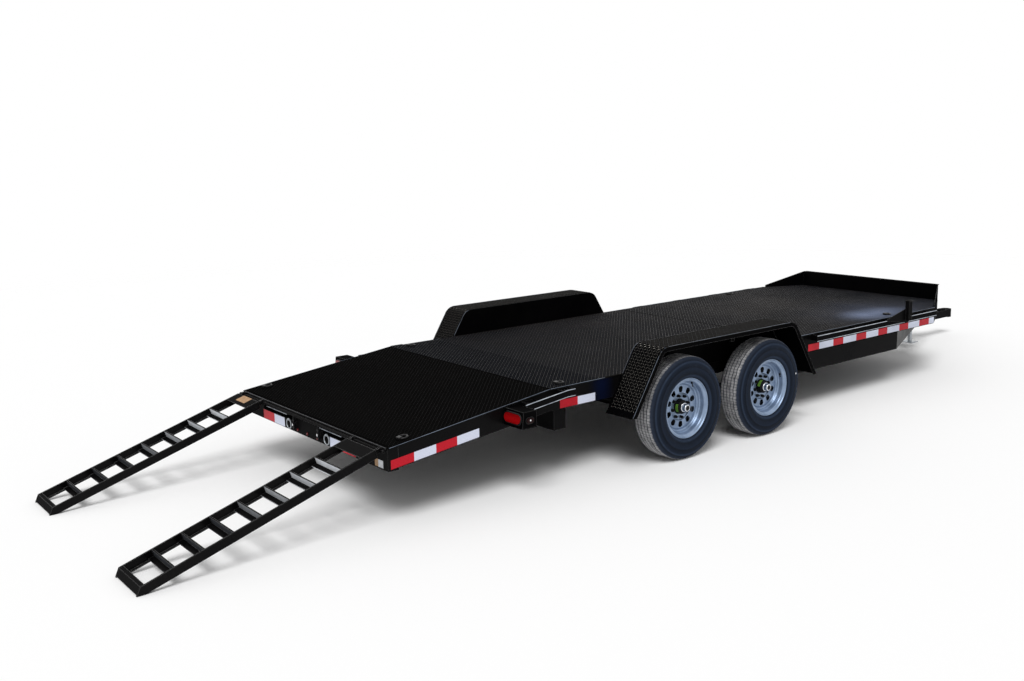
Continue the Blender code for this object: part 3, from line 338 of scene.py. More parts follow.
bumps = put(tree, "ShaderNodeBump", {"Height": (grain, "Fac"), "Strength": 0.25, "Distance": 0.001})
wire(tree, shader, Base_Color=(rubber, 2), Roughness=(dull, "Result"), Normal=(bumps, "Normal"))
print("tyre rubber made,", SIPES, "sipes round the tread")

# %% [markdown]
# ## Wheel paint
# The wheels are stamped steel under a silver paint full of fine aluminium flake, which a cell pattern gives to the
# gloss. Brake dust clouds it. The cut walls of the hand holes are painted nearly black for the shade in them, so the
# paint turns dark where a face lies in the ring of holes and looks sideways: painted shade.

# %% Wheel paint
HOLE_RING, RING_HALF = 0.131, 0.0245     # radius of the ring of hand holes, and half the width of its band
SIDEWAYS = 0.6                           # a wall's normal has less than this share along the axle
wheel_silver, tree, shader = finish_named("silver_wheel_paint", Metallic=0.55, Specular_IOR_Level=0.5)
place = put(tree, "ShaderNodeTexCoord")
flake = put(tree, "ShaderNodeTexVoronoi", {"Vector": (place, "Object"), "Scale": mm(3)})
brake_dust = put(tree, "ShaderNodeTexNoise", {"Vector": (place, "Object"), "Scale": mm(130), "Detail": 5.0})
silver = put(tree, "ShaderNodeValToRGB", {"Fac": (brake_dust, "Fac")},
             [(0.30, "#687a93"), (0.55, "#8799b2"), (0.80, "#a0b0c6")])
spark = put(tree, "ShaderNodeMapRange", {"Value": (flake, "Distance"), "To Min": 0.30, "To Max": 0.46})
axes = put(tree, "ShaderNodeSeparateXYZ", {"Vector": (place, "Object")})
flat = put(tree, "ShaderNodeCombineXYZ", {"X": (axes, "X"), "Z": (axes, "Z")})
reach = put(tree, "ShaderNodeVectorMath", {0: (flat, "Vector")}, operation="LENGTH")
in_ring = put(tree, "ShaderNodeMath", {0: (reach, "Value"), 1: HOLE_RING, 2: RING_HALF}, operation="COMPARE")
facing = put(tree, "ShaderNodeSeparateXYZ", {"Vector": (place, "Normal")})
edge_on = put(tree, "ShaderNodeMath", {0: (facing, "Y"), 1: 0.0, 2: SIDEWAYS}, operation="COMPARE")
# Painted shade on the walls of the hand holes.
hole_wall_shade = put(tree, "ShaderNodeMath", {0: (in_ring, "Value"), 1: (edge_on, "Value")}, operation="MULTIPLY")
wheel_paint = put(tree, "ShaderNodeMix", {"Factor": (hole_wall_shade, "Value"), 6: (silver, "Color"), 7: colour("#0b0c0f")},
                  data_type="RGBA")
wire(tree, shader, Base_Color=(wheel_paint, 2), Roughness=(spark, "Result"))
print("wheel paint made")

# %% [markdown]
# ## Metals, plastics and labels
# Rings, pins and the jack's leg are zinc plated, a grey metal with a soft cloudy sheen. The grease caps are pressed
# and chromed. Hubs and nuts are sand cast or forged and painted black, so they are rough and dull. Mouldings, labels,
# painted welds and the light paints of painted edge highlights differ only in colour, gloss and grain, so one function
# makes them all, with the grain of each given in millimetres.


# %% Metals, plastics and labels
def plain_finish(name, low, high, grain_mm, rough, bump=0.1, **surface):
    """Two close colours mixed by a fine noise, with the same noise in the gloss and in a slight bump."""
    mat, tree, shader = finish_named(name, **surface)
    place = put(tree, "ShaderNodeTexCoord")
    noise = put(tree, "ShaderNodeTexNoise", {"Vector": (place, "Object"), "Scale": mm(grain_mm), "Detail": 5.0})
    shade = put(tree, "ShaderNodeValToRGB", {"Fac": (noise, "Fac")}, [(0.3, low), (0.7, high)])
    gloss = put(tree, "ShaderNodeMapRange", {"Value": (noise, "Fac"), "To Min": rough - 0.06, "To Max": rough + 0.08})
    skin = put(tree, "ShaderNodeBump", {"Height": (noise, "Fac"), "Strength": bump, "Distance": 0.0005})
    wire(tree, shader, Base_Color=(shade, "Color"), Roughness=(gloss, "Result"), Normal=(skin, "Normal"))
    return mat


zinc_plate = plain_finish("zinc_plated_steel", "#8b9096", "#b4b8bc", 22, 0.34, Metallic=1.0)
bright_cap = plain_finish("chromed_grease_cap", "#c6cacf", "#dfe2e6", 40, 0.14, 0.03, Metallic=1.0)
cast_black = plain_finish("black_cast_hub", "#060607", "#101012", 12, 0.42, 0.3, Specular_IOR_Level=0.10)
black_plastic = plain_finish("moulded_black_plastic", "#09090a", "#121214", 6, 0.48, 0.2, Specular_IOR_Level=0.15)
grommet_rubber = plain_finish("rubber_lamp_grommet", "#070708", "#101012", 8, 0.42, 0.2, Specular_IOR_Level=0.2)
green_mark = plain_finish("green_inspection_paint", "#44701c", "#6b982e", 10, 0.5, 0.2)
white_mark = plain_finish("white_paint_dot", "#d7dade", "#f0f1f2", 4, 0.5)
foil_label = plain_finish("blank_foil_label", "#a9acb0", "#c9ccd0", 30, 0.30, 0.05, Metallic=0.6)
tan_label = plain_finish("blank_paper_label", "#94704f", "#b8946c", 25, 0.6, 0.05)
weld_steel = plain_finish("painted_weld_bead", "#0a0a0b", "#161516", 5, 0.34, 0.6, Specular_IOR_Level=0.25)
spring_steel = plain_finish("painted_leaf_spring", "#0b0b0c", "#1c1a19", 30, 0.42, 0.4, Specular_IOR_Level=0.15)
# Painted highlights for the sky mirrored by rounded edges: bright on the rub rails and slot lips, dim on the tail, soft
# on the fender lips and deck edges.
bright_edge_highlight = plain_finish("rail_edge_painted_highlight", "#8b939f", "#cfd5dd", 90, 0.30, 0.2, Metallic=0.3)
dim_edge_highlight = plain_finish("tail_edge_painted_dim_highlight", "#0c0d10", "#4a4e55", 45, 0.34, 0.1)
soft_edge_highlight = plain_finish("rounded_edge_painted_highlight", "#3d4552", "#6c7888", 120, 0.24, 0.1)
print("plain finishes made")

# %% [markdown]
# ## Reflective tape and lenses
# The tape is a retroreflective film: a clear face over a honeycomb of sealed cells, red and white by turns. The
# cells are about 5 mm across, and are drawn at 9 mm to show at all. A lamp lens is moulded acrylic, glossy and clear,
# with small prisms behind its face.


# %% Reflective tape
def tape_film(name, face, cell_wall):
    """A colour broken by the slightly darker walls of its cells."""
    mat, tree, shader = finish_named(name, Roughness=0.36, Specular_IOR_Level=0.12)
    place = put(tree, "ShaderNodeTexCoord")
    cells = put(tree, "ShaderNodeTexVoronoi", {"Vector": (place, "Object"), "Scale": mm(9), "Randomness": 0.12},
                feature="DISTANCE_TO_EDGE")
    film = put(tree, "ShaderNodeValToRGB", {"Fac": (cells, "Distance")}, [(0.02, cell_wall), (0.10, face), (1.0, face)])
    wire(tree, shader, Base_Color=(film, "Color"))
    return mat


tape_red = tape_film("red_reflective_tape", "#c41a2b", "#9c111f")
tape_white = tape_film("white_reflective_tape", "#d9deef", "#b9c0d4")


# %% Lamp lens
def lens_finish(name, deep, bright, gloss=0.7):
    """Prisms that are bright at their middles and deep between; a small gloss leaves a lens dull with dirt."""
    mat, tree, shader = finish_named(name, Roughness=0.12, Coat_Weight=gloss, Coat_Roughness=0.05,
                                     Specular_IOR_Level=0.5 * gloss)
    place = put(tree, "ShaderNodeTexCoord")
    prisms = put(tree, "ShaderNodeTexVoronoi", {"Vector": (place, "Object"), "Scale": mm(7), "Randomness": 0.0})
    glow = put(tree, "ShaderNodeValToRGB", {"Fac": (prisms, "Distance")}, [(0.0, bright), (0.5, deep)])
    facets = put(tree, "ShaderNodeBump", {"Height": (prisms, "Distance"), "Strength": 0.3, "Distance": 0.001})
    wire(tree, shader, Base_Color=(glow, "Color"), Normal=(facets, "Normal"))
    return mat


red_lens = lens_finish("red_acrylic_lens", "#7a0508", "#c80f16")
marker_lens = lens_finish("dark_red_marker_lens", "#1a0203", "#3c0508", 0.12)
small_lens = lens_finish("small_dark_red_lens", "#4a070b", "#8a1119", 0.2)
print("tape and lenses made")

# %% [markdown]
# ## The solids that stay
# Each solid of the model names the slot of material that it wears, and a few kinds of solid have a finish of their
# own. The first table paints by slot and the second by the start of a solid's name.

# %% Finishes for the solids that stay
FINISH_OF_SLOT = {"black_paint": black_enamel, "deck_paint": deck_enamel, "tyre_rubber": tyre_rubber,
                  "silver_paint": wheel_silver, "red_lens": red_lens, "bare_steel": zinc_plate}
for row in frame["record"]["subparts"]:
    solid = nodes[row["node"]]
    solid.data.materials.clear()
    solid.data.materials.append(FINISH_OF_SLOT[row["material_slot"]])
FINISH_OF_NAME = {"rub_rail": rail_enamel, "fender": shaded_enamel, "light_box": shaded_enamel,
                  "bulkhead": shaded_enamel, "ramp_left": ramp_enamel, "ramp_right": ramp_enamel,
                  "tongue_frame": tongue_enamel, "deck_sheet_tail": tail_enamel, "suspension": spring_steel,
                  "ramp_latch": cast_black, "side_marker": marker_lens, "battery_box": black_plastic}
for name, solid in nodes.items():
    for start, paint in FINISH_OF_NAME.items():
        if name.startswith(start):
            solid.data.materials[0] = paint

# %% [markdown]
# ## Mesh helpers
# Each helper adds one closed form to a mesh that is being built, so that a piece with many small forms, such as the
# nuts of a wheel, is one object. Edges are eased where a form is cut or pressed, because nothing real is knife sharp.


# %% Blocks and lathes
def circle(count):
    """Angles that go once round in even steps."""
    return [2 * math.pi * k / count for k in range(count)]


def add_block(bm, low, high, ease=0.0008):
    """A box from corner to corner with eased edges."""
    low, high = Vector(low), Vector(high)
    made = bmesh.ops.create_cube(bm, size=1.0)["verts"]
    bmesh.ops.scale(bm, vec=high - low, verts=made)
    bmesh.ops.translate(bm, vec=(low + high) / 2, verts=made)
    if ease:
        edges = list(dict.fromkeys(e for v in made for e in v.link_edges))
        bmesh.ops.bevel(bm, geom=edges, offset=ease, segments=1, affect="EDGES")


def add_lathe(bm, profile, steps, axis="Y", centre=(0, 0, 0), wave=None):
    """Turn a closed (radius, along) outline about an axis; wave(k, n, r, along) may move a point."""
    columns = []
    for k, turn in enumerate(circle(steps)):
        column = []
        for n, (r, h) in enumerate(profile):
            if wave:
                r, h = wave(k, n, r, h)
            if r < 1e-7 and k:
                column.append(columns[0][n])     # all columns share a point that lies on the axis
                continue
            c, s = r * math.cos(turn), r * math.sin(turn)
            spot = {"Y": (c, h, s), "Z": (c, s, h), "X": (h, c, s)}[axis]
            column.append(bm.verts.new(Vector(spot) + Vector(centre)))
        columns.append(column)
    faces = []
    for k in range(steps):
        a, b = columns[k], columns[(k + 1) % steps]
        for i in range(len(profile)):
            j = (i + 1) % len(profile)
            loop = list(dict.fromkeys((a[i], a[j], b[j], b[i])))
            if len(loop) > 2:
                faces.append(bm.faces.new(loop))
    bmesh.ops.recalc_face_normals(bm, faces=faces)
    return [v for v in dict.fromkeys(v for column in columns for v in column)]


# %% Prisms, rods and patches
def add_skin(bm, rows, closed=False):
    """Faces between rows of points, with the ends shut unless the rows run round to the first."""
    pairs = list(zip(rows, rows[1:])) + ([(rows[-1], rows[0])] if closed else [])
    count = len(rows[0])
    faces = [bm.faces.new((a[k], a[(k + 1) % count], b[(k + 1) % count], b[k]))
             for a, b in pairs for k in range(count)]
    if not closed:
        faces += [bm.faces.new(rows[0]), bm.faces.new(rows[-1])]
    bmesh.ops.recalc_face_normals(bm, faces=faces)
    return [v for row in rows for v in row]


def add_prism(bm, points, axis, start, end, ease=0.0):
    """A polygon drawn out along an axis, its two outline rims eased."""
    place = {"X": lambda p, t: (t, p[0], p[1]),
             "Y": lambda p, t: (p[0], t, p[1]),
             "Z": lambda p, t: (p[0], p[1], t)}[axis]
    rows = [[bm.verts.new(place(p, t)) for p in points] for t in (start, end)]
    made = add_skin(bm, rows)
    if ease:
        rims = list(dict.fromkeys(e for row in rows for v in row for e in v.link_edges if e.other_vert(v) in row))
        made = bmesh.ops.bevel(bm, geom=rims, offset=ease, segments=1, affect="EDGES")["verts"] + made
        made = list(dict.fromkeys(v for v in made if v.is_valid))
    return made


def add_tube(bm, points, radius, sides=8, closed=False):
    """A round rod along a path; radius may be a list, one for each point."""
    points = [Vector(p) for p in points]
    count = len(points)
    rows = []
    side_way = None
    for i, p in enumerate(points):
        before = points[i - 1] if i or closed else p
        after = points[(i + 1) % count] if i < count - 1 or closed else p
        along = (after - before).normalized()
        if side_way is None:
            side_way = along.orthogonal().normalized()
        side_way = (side_way - along * side_way.dot(along)).normalized()
        other = along.cross(side_way)
        r = radius[i] if isinstance(radius, (list, tuple)) else radius
        rows.append([bm.verts.new(p + (side_way * math.cos(a) + other * math.sin(a)) * r) for a in circle(sides)])
    return add_skin(bm, rows, closed)


def add_patch(bm, radius, middle, half, near, far, thick=0.0006, steps=8):
    """A thin curved patch on a Y cylinder, between two angles and two places along the axis."""
    rows = []
    for k in range(steps + 1):
        a = middle - half + 2 * half * k / steps
        rows.append([bm.verts.new((r * math.cos(a), y, r * math.sin(a)))
                     for r, y in ((radius, near), (radius + thick, near), (radius + thick, far), (radius, far))])
    add_skin(bm, rows)


# %% Bolts, beads and turns
def hexagon(across, turn=0.0):
    """Corners of a hex head from its size across the flats."""
    return [(across / math.sqrt(3) * math.cos(turn + math.pi / 3 * n),
             across / math.sqrt(3) * math.sin(turn + math.pi / 3 * n)) for n in range(6)]


def turned(bm, verts, matrix):
    """Turn points about the origin of the mesh."""
    bmesh.ops.rotate(bm, cent=(0, 0, 0), matrix=matrix, verts=verts)


def add_bolt(bm, spot, out, across=0.019, tall=0.0075):
    """A hex head on a washer, standing on a face at spot with its axis along out."""
    made = add_lathe(bm, [(0, 0), (across * 0.82, 0), (across * 0.80, 0.0016), (0, 0.0018)], 16, "Z")
    made += add_prism(bm, hexagon(across), "Z", 0.0012, tall, 0.0010)
    turned(bm, made, Vector(out).to_track_quat("Z", "Y").to_matrix())
    bmesh.ops.translate(bm, vec=spot, verts=made)


def add_bead(bm, start, end, radius=0.0032, lumps=14):
    """A weld bead: a rod whose thickness ripples along its length."""
    start, end = Vector(start), Vector(end)
    line = [start.lerp(end, k / lumps) for k in range(lumps + 1)]
    add_tube(bm, line, [radius * (1.0 if k % 2 else 0.78) for k in range(lumps + 1)], 6)


# %% [markdown]
# ## Showing a piece
# A finished mesh becomes an object at its datum place. It rides the body that it moves with, so that it follows the
# joints, and the solids that it stands for are hidden. Meshes with thousands of lugs come as plain lists
# of points and faces, which Blender takes much faster than one face at a time.


# %% Showing a piece
def place_piece(name, mesh, material, body, at=(0, 0, 0), replaces=()):
    """Put a mesh at its place with its material, on the body it moves with, and hide the solids it stands for."""
    mesh.materials.append(material)
    piece = bpy.data.objects.new(name, mesh)
    piece.location = (at[0] + SHIFT, at[1], at[2])
    scene.collection.objects.link(piece)
    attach(piece, body)
    if replaces:
        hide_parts(*replaces)


def show(name, bm, material, body="chassis", at=(0, 0, 0), mirror=False, smooth=40, replaces=()):
    """Make a piece of a built mesh; smooth is the angle in degrees above which an edge stays sharp."""
    if mirror:
        bmesh.ops.scale(bm, vec=(1, -1, 1), verts=bm.verts)
        bmesh.ops.reverse_faces(bm, faces=bm.faces)
    mesh = bpy.data.meshes.new(name)
    bm.to_mesh(mesh)
    bm.free()
    if smooth:
        mesh.shade_smooth()
        mesh.set_sharp_from_angle(angle=math.radians(smooth))
    place_piece(name, mesh, material, body, at, replaces)


def show_faces(name, points, faces, material, body="chassis"):
    """Make a piece of lists of points and faces."""
    mesh = bpy.data.meshes.new(name)
    mesh.from_pydata([tuple(p) for p in points], [], faces)
    place_piece(name, mesh, material, body)
    print(name, "has", len(faces), "faces")


# %% [markdown]
# ## Tread plate
# The deck and the fenders are rolled floor plate: lens-shaped lugs, 1.3 mm proud, that point along one diagonal and
# then the other like a woven mat. From this low angle the rows draw fine lines across the deck, and each lug has its
# own glint, so they are real geometry. Each lug is a closed hip-roof form with six corners, pressed a little into the
# plate below it. One function lays them out on any surface that can say where it is and which way it faces.

# %% Tread lugs
LUG_PITCH = 0.0175
LUG_LONG, LUG_WIDE, LUG_HIGH, LUG_SINK = 0.0206, 0.0060, 0.0013, 0.0002
LUG_FACES = ((0, 1, 4), (1, 5, 4), (1, 2, 5), (2, 3, 5), (3, 4, 5), (3, 0, 4), (3, 2, 1, 0))
DECK_SEAM_X = 1.10                   # between the middle and the front sheet
SIDE_CLEAR, TAIL_CLEAR, BREAK_CLEAR, NOSE_CLEAR = 0.024, 0.020, 0.012, 0.025     # plain strips without lugs


def lug_field(spans, surface, size=1.0):
    """Lugs on a grid. A span is (i, u, lowest j, highest j); surface(u, v) gives a point, two ways and a normal."""
    points, faces = [], []
    for i, u, j_low, j_high in spans:
        for j in range(j_low, j_high + 1):
            v = j * LUG_PITCH * size
            spot, way_u, way_v, out = surface(u, v)
            tilt = 1 if (i + j) % 2 else -1
            along = (way_u + way_v * tilt) / math.sqrt(2)
            across = (way_v - way_u * tilt) / math.sqrt(2)
            base = len(points)
            low = spot - out * LUG_SINK
            top = spot + out * LUG_HIGH * size
            half, wide, ridge = (k * size for k in (LUG_LONG / 2, LUG_WIDE / 2, LUG_LONG / 5))
            points += [low + along * half, low + across * wide, low - along * half,
                       low - across * wide, top + along * ridge, top - along * ridge]
            faces += [tuple(base + k for k in face) for face in LUG_FACES]
    return points, faces


def deck_half(x):
    """Half the width that the lugs fill, narrower past the cut corners."""
    cut = max(0.0, (x - CORNER_X) / (NOSE_X - CORNER_X))
    return DECK_HALF + (NOSE_HALF - DECK_HALF) * cut - SIDE_CLEAR


def deck_point(x, y):
    """A point of the deck, the ways along and across it, and its normal."""
    if x > BREAK_X:
        return np.array((x, y, DECK_TOP)), np.array((1.0, 0, 0)), np.array((0, 1.0, 0)), np.array((0, 0, 1.0))
    z = DECK_TOP - (BREAK_X - x) * math.tan(FALL)
    return (np.array((x, y, z)), np.array((math.cos(FALL), 0, math.sin(FALL))), np.array((0, 1.0, 0)),
            np.array((-math.sin(FALL), 0, math.cos(FALL))))


def deck_rows(x_low, x_high):
    """The spans of the lugs that lie between two places along the deck."""
    rows = []
    for i in range(math.ceil(x_low / LUG_PITCH), int(x_high // LUG_PITCH) + 1):
        x = i * LUG_PITCH
        reach = int(deck_half(x) / LUG_PITCH)
        rows.append((i, x, -reach, reach))
    return rows


for word, x_low, x_high, paint in (("tail", REAR_X + TAIL_CLEAR, BREAK_X - BREAK_CLEAR, tail_lug_enamel),
                                   ("middle", BREAK_X + BREAK_CLEAR, DECK_SEAM_X, lug_enamel),
                                   ("front", DECK_SEAM_X + LUG_PITCH, NOSE_X - NOSE_CLEAR, lug_enamel)):
    points, faces = lug_field(deck_rows(x_low, x_high), deck_point)
    show_faces("deck_tread_" + word, points, faces, paint)

# %% [markdown]
# ## Tread plate on the fenders
# The fender is one strip of the same plate bent over the wheels: up a slope, round a corner, along the top, and down
# again. The lugs follow the strip's own length, so the helper walks along that bent line. They stand proud of the
# solid's top, which is the highest point of the whole trailer. So the strip is shown by a copy of the solid that is let
# down by one lug at its top, and the lugs end where the solid ends.

# %% Fender lugs
FENDER_IN, FENDER_OUT, FENDER_TOP, FENDER_LOW = 1.0305, 1.300, 0.874, 0.405
FENDER_TOP_HALF, FENDER_LOW_HALF, FENDER_CORNER = 0.755, 1.050, 0.110
FENDER_LUG = 1.25          # the fender's sheet has a larger pattern than the deck's
FENDER_SIDE_CLEAR, FENDER_FOOT_CLEAR = 0.018, 0.015
BEND_LOW = 0.820           # the strip is let down from here up
INSIDE_Z = 0.5             # a height that is under the strip, to tell its outside


def settled(z):
    """The strip's height once its top is let down by one lug, so that the lugs end where the solid's top is."""
    return z - LUG_HIGH * FENDER_LUG * max(0.0, (z - BEND_LOW) / (FENDER_TOP - BEND_LOW))


def fender_walk():
    """Points along the outside of the fender strip from the front foot to the rear foot, a few mm apart."""
    run, rise = FENDER_LOW_HALF - FENDER_TOP_HALF, FENDER_TOP - FENDER_LOW
    slope = math.hypot(run, rise)
    knee = Vector((FENDER_TOP_HALF, FENDER_TOP))
    foot = Vector((FENDER_LOW_HALF, FENDER_LOW))
    way = (knee - foot) / slope
    bend = math.pi / 2 - math.atan2(run, rise)
    reach = FENDER_CORNER * math.tan(bend / 2)
    start = knee - way * reach
    centre = start + Vector((-way.y, way.x)) * FENDER_CORNER
    line = [foot.lerp(start, k / 90) for k in range(90)]
    first = math.atan2(start.y - centre.y, start.x - centre.x)
    line += [centre + Vector((math.cos(a), math.sin(a))) * FENDER_CORNER
             for a in (first + (math.pi / 2 - first) * k / 24 for k in range(25))]
    back = [Vector((-p.x, p.y)) for p in reversed(line)]
    whole = line + [line[-1].lerp(back[0], k / 300) for k in range(1, 300)] + back
    return [Vector((p.x, settled(p.y))) for p in whole]


walk = fender_walk()
steps = [0.0]
for a, b in zip(walk, walk[1:]):
    steps.append(steps[-1] + (b - a).length)


def fender_point(u, v):
    """A point of the strip at a length along it and a place across, its two ways and its normal."""
    i = min(max(int(np.searchsorted(steps, u)), 1), len(walk) - 1)
    a, b = walk[i - 1], walk[i]
    part = (u - steps[i - 1]) / max(steps[i] - steps[i - 1], 1e-9)
    p = a.lerp(b, part)
    way = (b - a).normalized()
    out = Vector((way.y, -way.x)) if p.x * way.y - (p.y - INSIDE_Z) * way.x > 0 else Vector((-way.y, way.x))
    return (np.array((p.x, (FENDER_IN + FENDER_OUT) / 2 + v, p.y)), np.array((way.x, 0, way.y)),
            np.array((0, 1.0, 0)), np.array((out.x, 0, out.y)))


pitch = LUG_PITCH * FENDER_LUG
half_rows = int(((FENDER_OUT - FENDER_IN) / 2 - FENDER_SIDE_CLEAR) / pitch)
row_count = int((steps[-1] - FENDER_FOOT_CLEAR) / pitch)
fender_rows = [(i, i * pitch, -half_rows, half_rows) for i in range(1, row_count)]
points, faces = lug_field(fender_rows, fender_point, FENDER_LUG)
for side, word in SIDES:
    placed = [(p[0], p[1] * side, p[2]) for p in points]
    turned_faces = faces if side > 0 else [tuple(reversed(f)) for f in faces]
    show_faces("fender_tread_" + word, placed, turned_faces, fender_lug_enamel)
    solid = nodes["fender_" + word]
    bm = bmesh.new()
    bm.from_mesh(solid.data)
    bm.transform(Matrix.Translation((-SHIFT, 0, 0)) @ solid.matrix_world)
    for v in bm.verts:
        v.co.z = settled(v.co.z)
    show("fender_sheet_" + word, bm, shaded_enamel, smooth=30, replaces=["fender_" + word])

# %% [markdown]
# ## Tyres
# These are ribbed trailer radials: five ribs between four zigzag grooves, small notches in the shoulders, and a
# sidewall with a few moulded rings. A lathe that may move its points as it turns gives all of it: the groove walls
# swing from side to side, and the shoulder steps in at each notch.

# %% Tyres
TREAD_STEPS, ZIGZAG_EVERY, NOTCH_EVERY = 240, 4, 4
GROOVES = (0.043, 0.074, 0.106, 0.137)     # middle of each groove, inboard of the rim plane
GROOVE_HALF, GROOVE_DEEP, ZIGZAG, NOTCH_DEEP = 0.0043, 0.0098, 0.0022, 0.0022
LIP, FOOT = 0.0006, 0.0010                 # a groove is wider at its lip and narrower at its foot
TREAD_MIDDLE, TREAD_HALF, CROWN = 0.090, 0.065, 0.0016     # the tread falls by the crown at its half width


def tyre_outline():
    """(radius, inboard) from the outer bead round the tread to the inner bead, with the kind of each point."""
    outer = [(0.2252, 0.006, ""), (0.2258, -0.002, ""), (0.233, -0.0075, ""), (0.240, -0.0105, ""),
             (0.2415, -0.0128, ""), (0.2455, -0.0132, ""), (0.247, -0.0124, ""), (0.262, -0.0170, ""),
             (0.278, -0.0193, ""), (0.291, -0.0199, ""), (0.303, -0.0192, ""), (0.305, -0.0200, ""),
             (0.309, -0.0196, ""), (0.311, -0.0182, ""), (0.324, -0.0168, ""), (0.336, -0.0142, ""),
             (0.344, -0.0118, ""), (0.3455, -0.0132, ""), (0.3485, -0.0124, ""), (0.350, -0.0098, ""),
             (0.3585, -0.0050, "notch"), (0.366, 0.0012, "notch"), (0.3722, 0.0072, "notch"),
             (0.3768, 0.0135, "notch"), (0.3790, 0.0185, "notch"), (0.3802, 0.0250, "")]
    crown = []
    for middle in GROOVES:
        drop = CROWN * ((middle - TREAD_MIDDLE) / TREAD_HALF) ** 2
        for step, deep in ((-GROOVE_HALF - LIP, 0.0), (-GROOVE_HALF + FOOT, GROOVE_DEEP),
                           (GROOVE_HALF - FOOT, GROOVE_DEEP), (GROOVE_HALF + LIP, 0.0)):
            crown.append((TYRE_R - drop - deep, middle + step, "groove"))
    crown.insert(len(crown) // 2, (TYRE_R, TREAD_MIDDLE, ""))
    inner = [(r, 2 * TREAD_MIDDLE - t, kind) for r, t, kind in reversed(outer)]
    seat = [(0.2080, 0.160, ""), (0.2080, 0.020, "")]
    return outer + crown + inner + seat


OUTLINE = tyre_outline()


def tread_wave(k, n, r, h):
    """Groove walls swing in a zigzag, and the shoulder steps in at every notch."""
    kind = OUTLINE[n][2]
    if kind == "groove":
        swing = abs((k % (2 * ZIGZAG_EVERY)) / ZIGZAG_EVERY - 1) * 2 - 1
        return r, h + swing * ZIGZAG
    if kind == "notch" and k % NOTCH_EVERY == 0:
        return r - NOTCH_DEEP, h
    return r, h


# Name, x, side, and the angle of the green mark on its hub.
WHEELS = [("front_right", AXLE_X, -1, 139), ("front_left", AXLE_X, 1, 200),
          ("rear_right", -AXLE_X, -1, 182), ("rear_left", -AXLE_X, 1, 300)]
for name, x, side, marks in WHEELS:
    bm = bmesh.new()
    profile = [(r, RIM_PLANE_Y - t) for r, t, kind in OUTLINE]
    add_lathe(bm, profile, TREAD_STEPS, "Y", wave=tread_wave)
    show("tyre_tread_" + name, bm, tyre_rubber, "wheel_" + name, (x, 0, TYRE_R), side < 0, 32,
         ["tyre_" + name])
DOT_ANGLE, DOT_RING, DOT_OUT = math.radians(12), 0.322, 0.0168
bm = bmesh.new()
add_lathe(bm, [(0, 0.0), (0.0070, 0.0), (0.0064, 0.0008), (0, 0.0009)], 16, "Y",
          (DOT_RING * math.cos(DOT_ANGLE), RIM_PLANE_Y + DOT_OUT, DOT_RING * math.sin(DOT_ANGLE)))
show("balance_dot_front_right", bm, white_mark, "wheel_front_right", (AXLE_X, 0, TYRE_R), True)
print("tyres made")

# %% [markdown]
# ## Wheels
# A steel trailer wheel is a rolled rim welded to a stamped disc with ten round hand holes and eight nuts. The rim is
# one lathed outline. The disc's holes need no cutting: each tenth of the ring is a fan of faces from its border to a
# circle of the same number of points, and more rings round the hole's edge over.


# %% Rim and disc outlines
def rounded(points, radius, steps=3):
    """The same open outline with each inner corner turned into a short arc."""
    out = [points[0]]
    for a, b, c in zip(points, points[1:], points[2:]):
        a, b, c = Vector(a), Vector(b), Vector(c)
        cut = min(radius, (b - a).length * 0.45, (c - b).length * 0.45)
        start, end = b + (a - b).normalized() * cut, b + (c - b).normalized() * cut
        for k in range(steps + 1):
            t = k / steps
            out.append(tuple((start * (1 - t) + b * t) * (1 - t) + (b * (1 - t) + end * t) * t))
    return out + [points[-1]]


HOLES, HOLE_R = 10, 0.0238
HOLE_EDGE = ((0.0019, 0.0), (0.0008, 0.0003), (0.0001, 0.0010))     # (wider, deeper) rings that round the edge over
DISC_INNER, DISC_OUTER = 0.1045, 0.1575
DISC_FRONT, DISC_BACK = 0.068, 0.0745
PER_HOLE = 9
RIM_STEPS = HOLES * PER_HOLE
front_part = rounded([(DISC_OUTER, DISC_FRONT), (0.163, 0.0685), (0.172, 0.074), (0.183, 0.070), (0.188, 0.056),
                      (0.1935, 0.050), (0.1955, 0.020), (0.2005, 0.0125), (0.2150, 0.0085), (0.2185, 0.0010),
                      (0.2238, 0.0004), (0.2240, 0.0060)], 0.005)
back_part = rounded([(0.2240, 0.0060), (0.2185, 0.0110), (0.2065, 0.0150), (0.2060, 0.050), (0.1900, 0.074),
                     (0.1900, 0.112), (0.2060, 0.140), (0.2065, 0.165), (0.2185, 0.170), (0.2235, 0.1795),
                     (0.2165, 0.1795), (0.1990, 0.168), (0.1985, 0.142), (0.1830, 0.114), (0.1820, 0.092),
                     (0.1700, 0.082), (DISC_OUTER, DISC_BACK)], 0.004)
centre_part = rounded([(DISC_INNER, DISC_BACK), (0.1010, 0.0900), (0.0560, 0.0900), (0.0560, 0.0820),
                       (0.0900, 0.0815), (0.0985, 0.0790), (0.1030, 0.0695), (DISC_INNER, DISC_FRONT)], 0.003)


# %% Rim and disc
def strip_between(bm, profile):
    """Lathe an open outline; returns its first and last rings."""
    rings = [[bm.verts.new((r * math.cos(a), RIM_PLANE_Y - t, r * math.sin(a))) for a in circle(RIM_STEPS)]
             for r, t in profile]
    for a, b in zip(rings, rings[1:]):
        for k in range(RIM_STEPS):
            j = (k + 1) % RIM_STEPS
            bm.faces.new((a[k], a[j], b[j], b[k]))
    return rings[0], rings[-1]


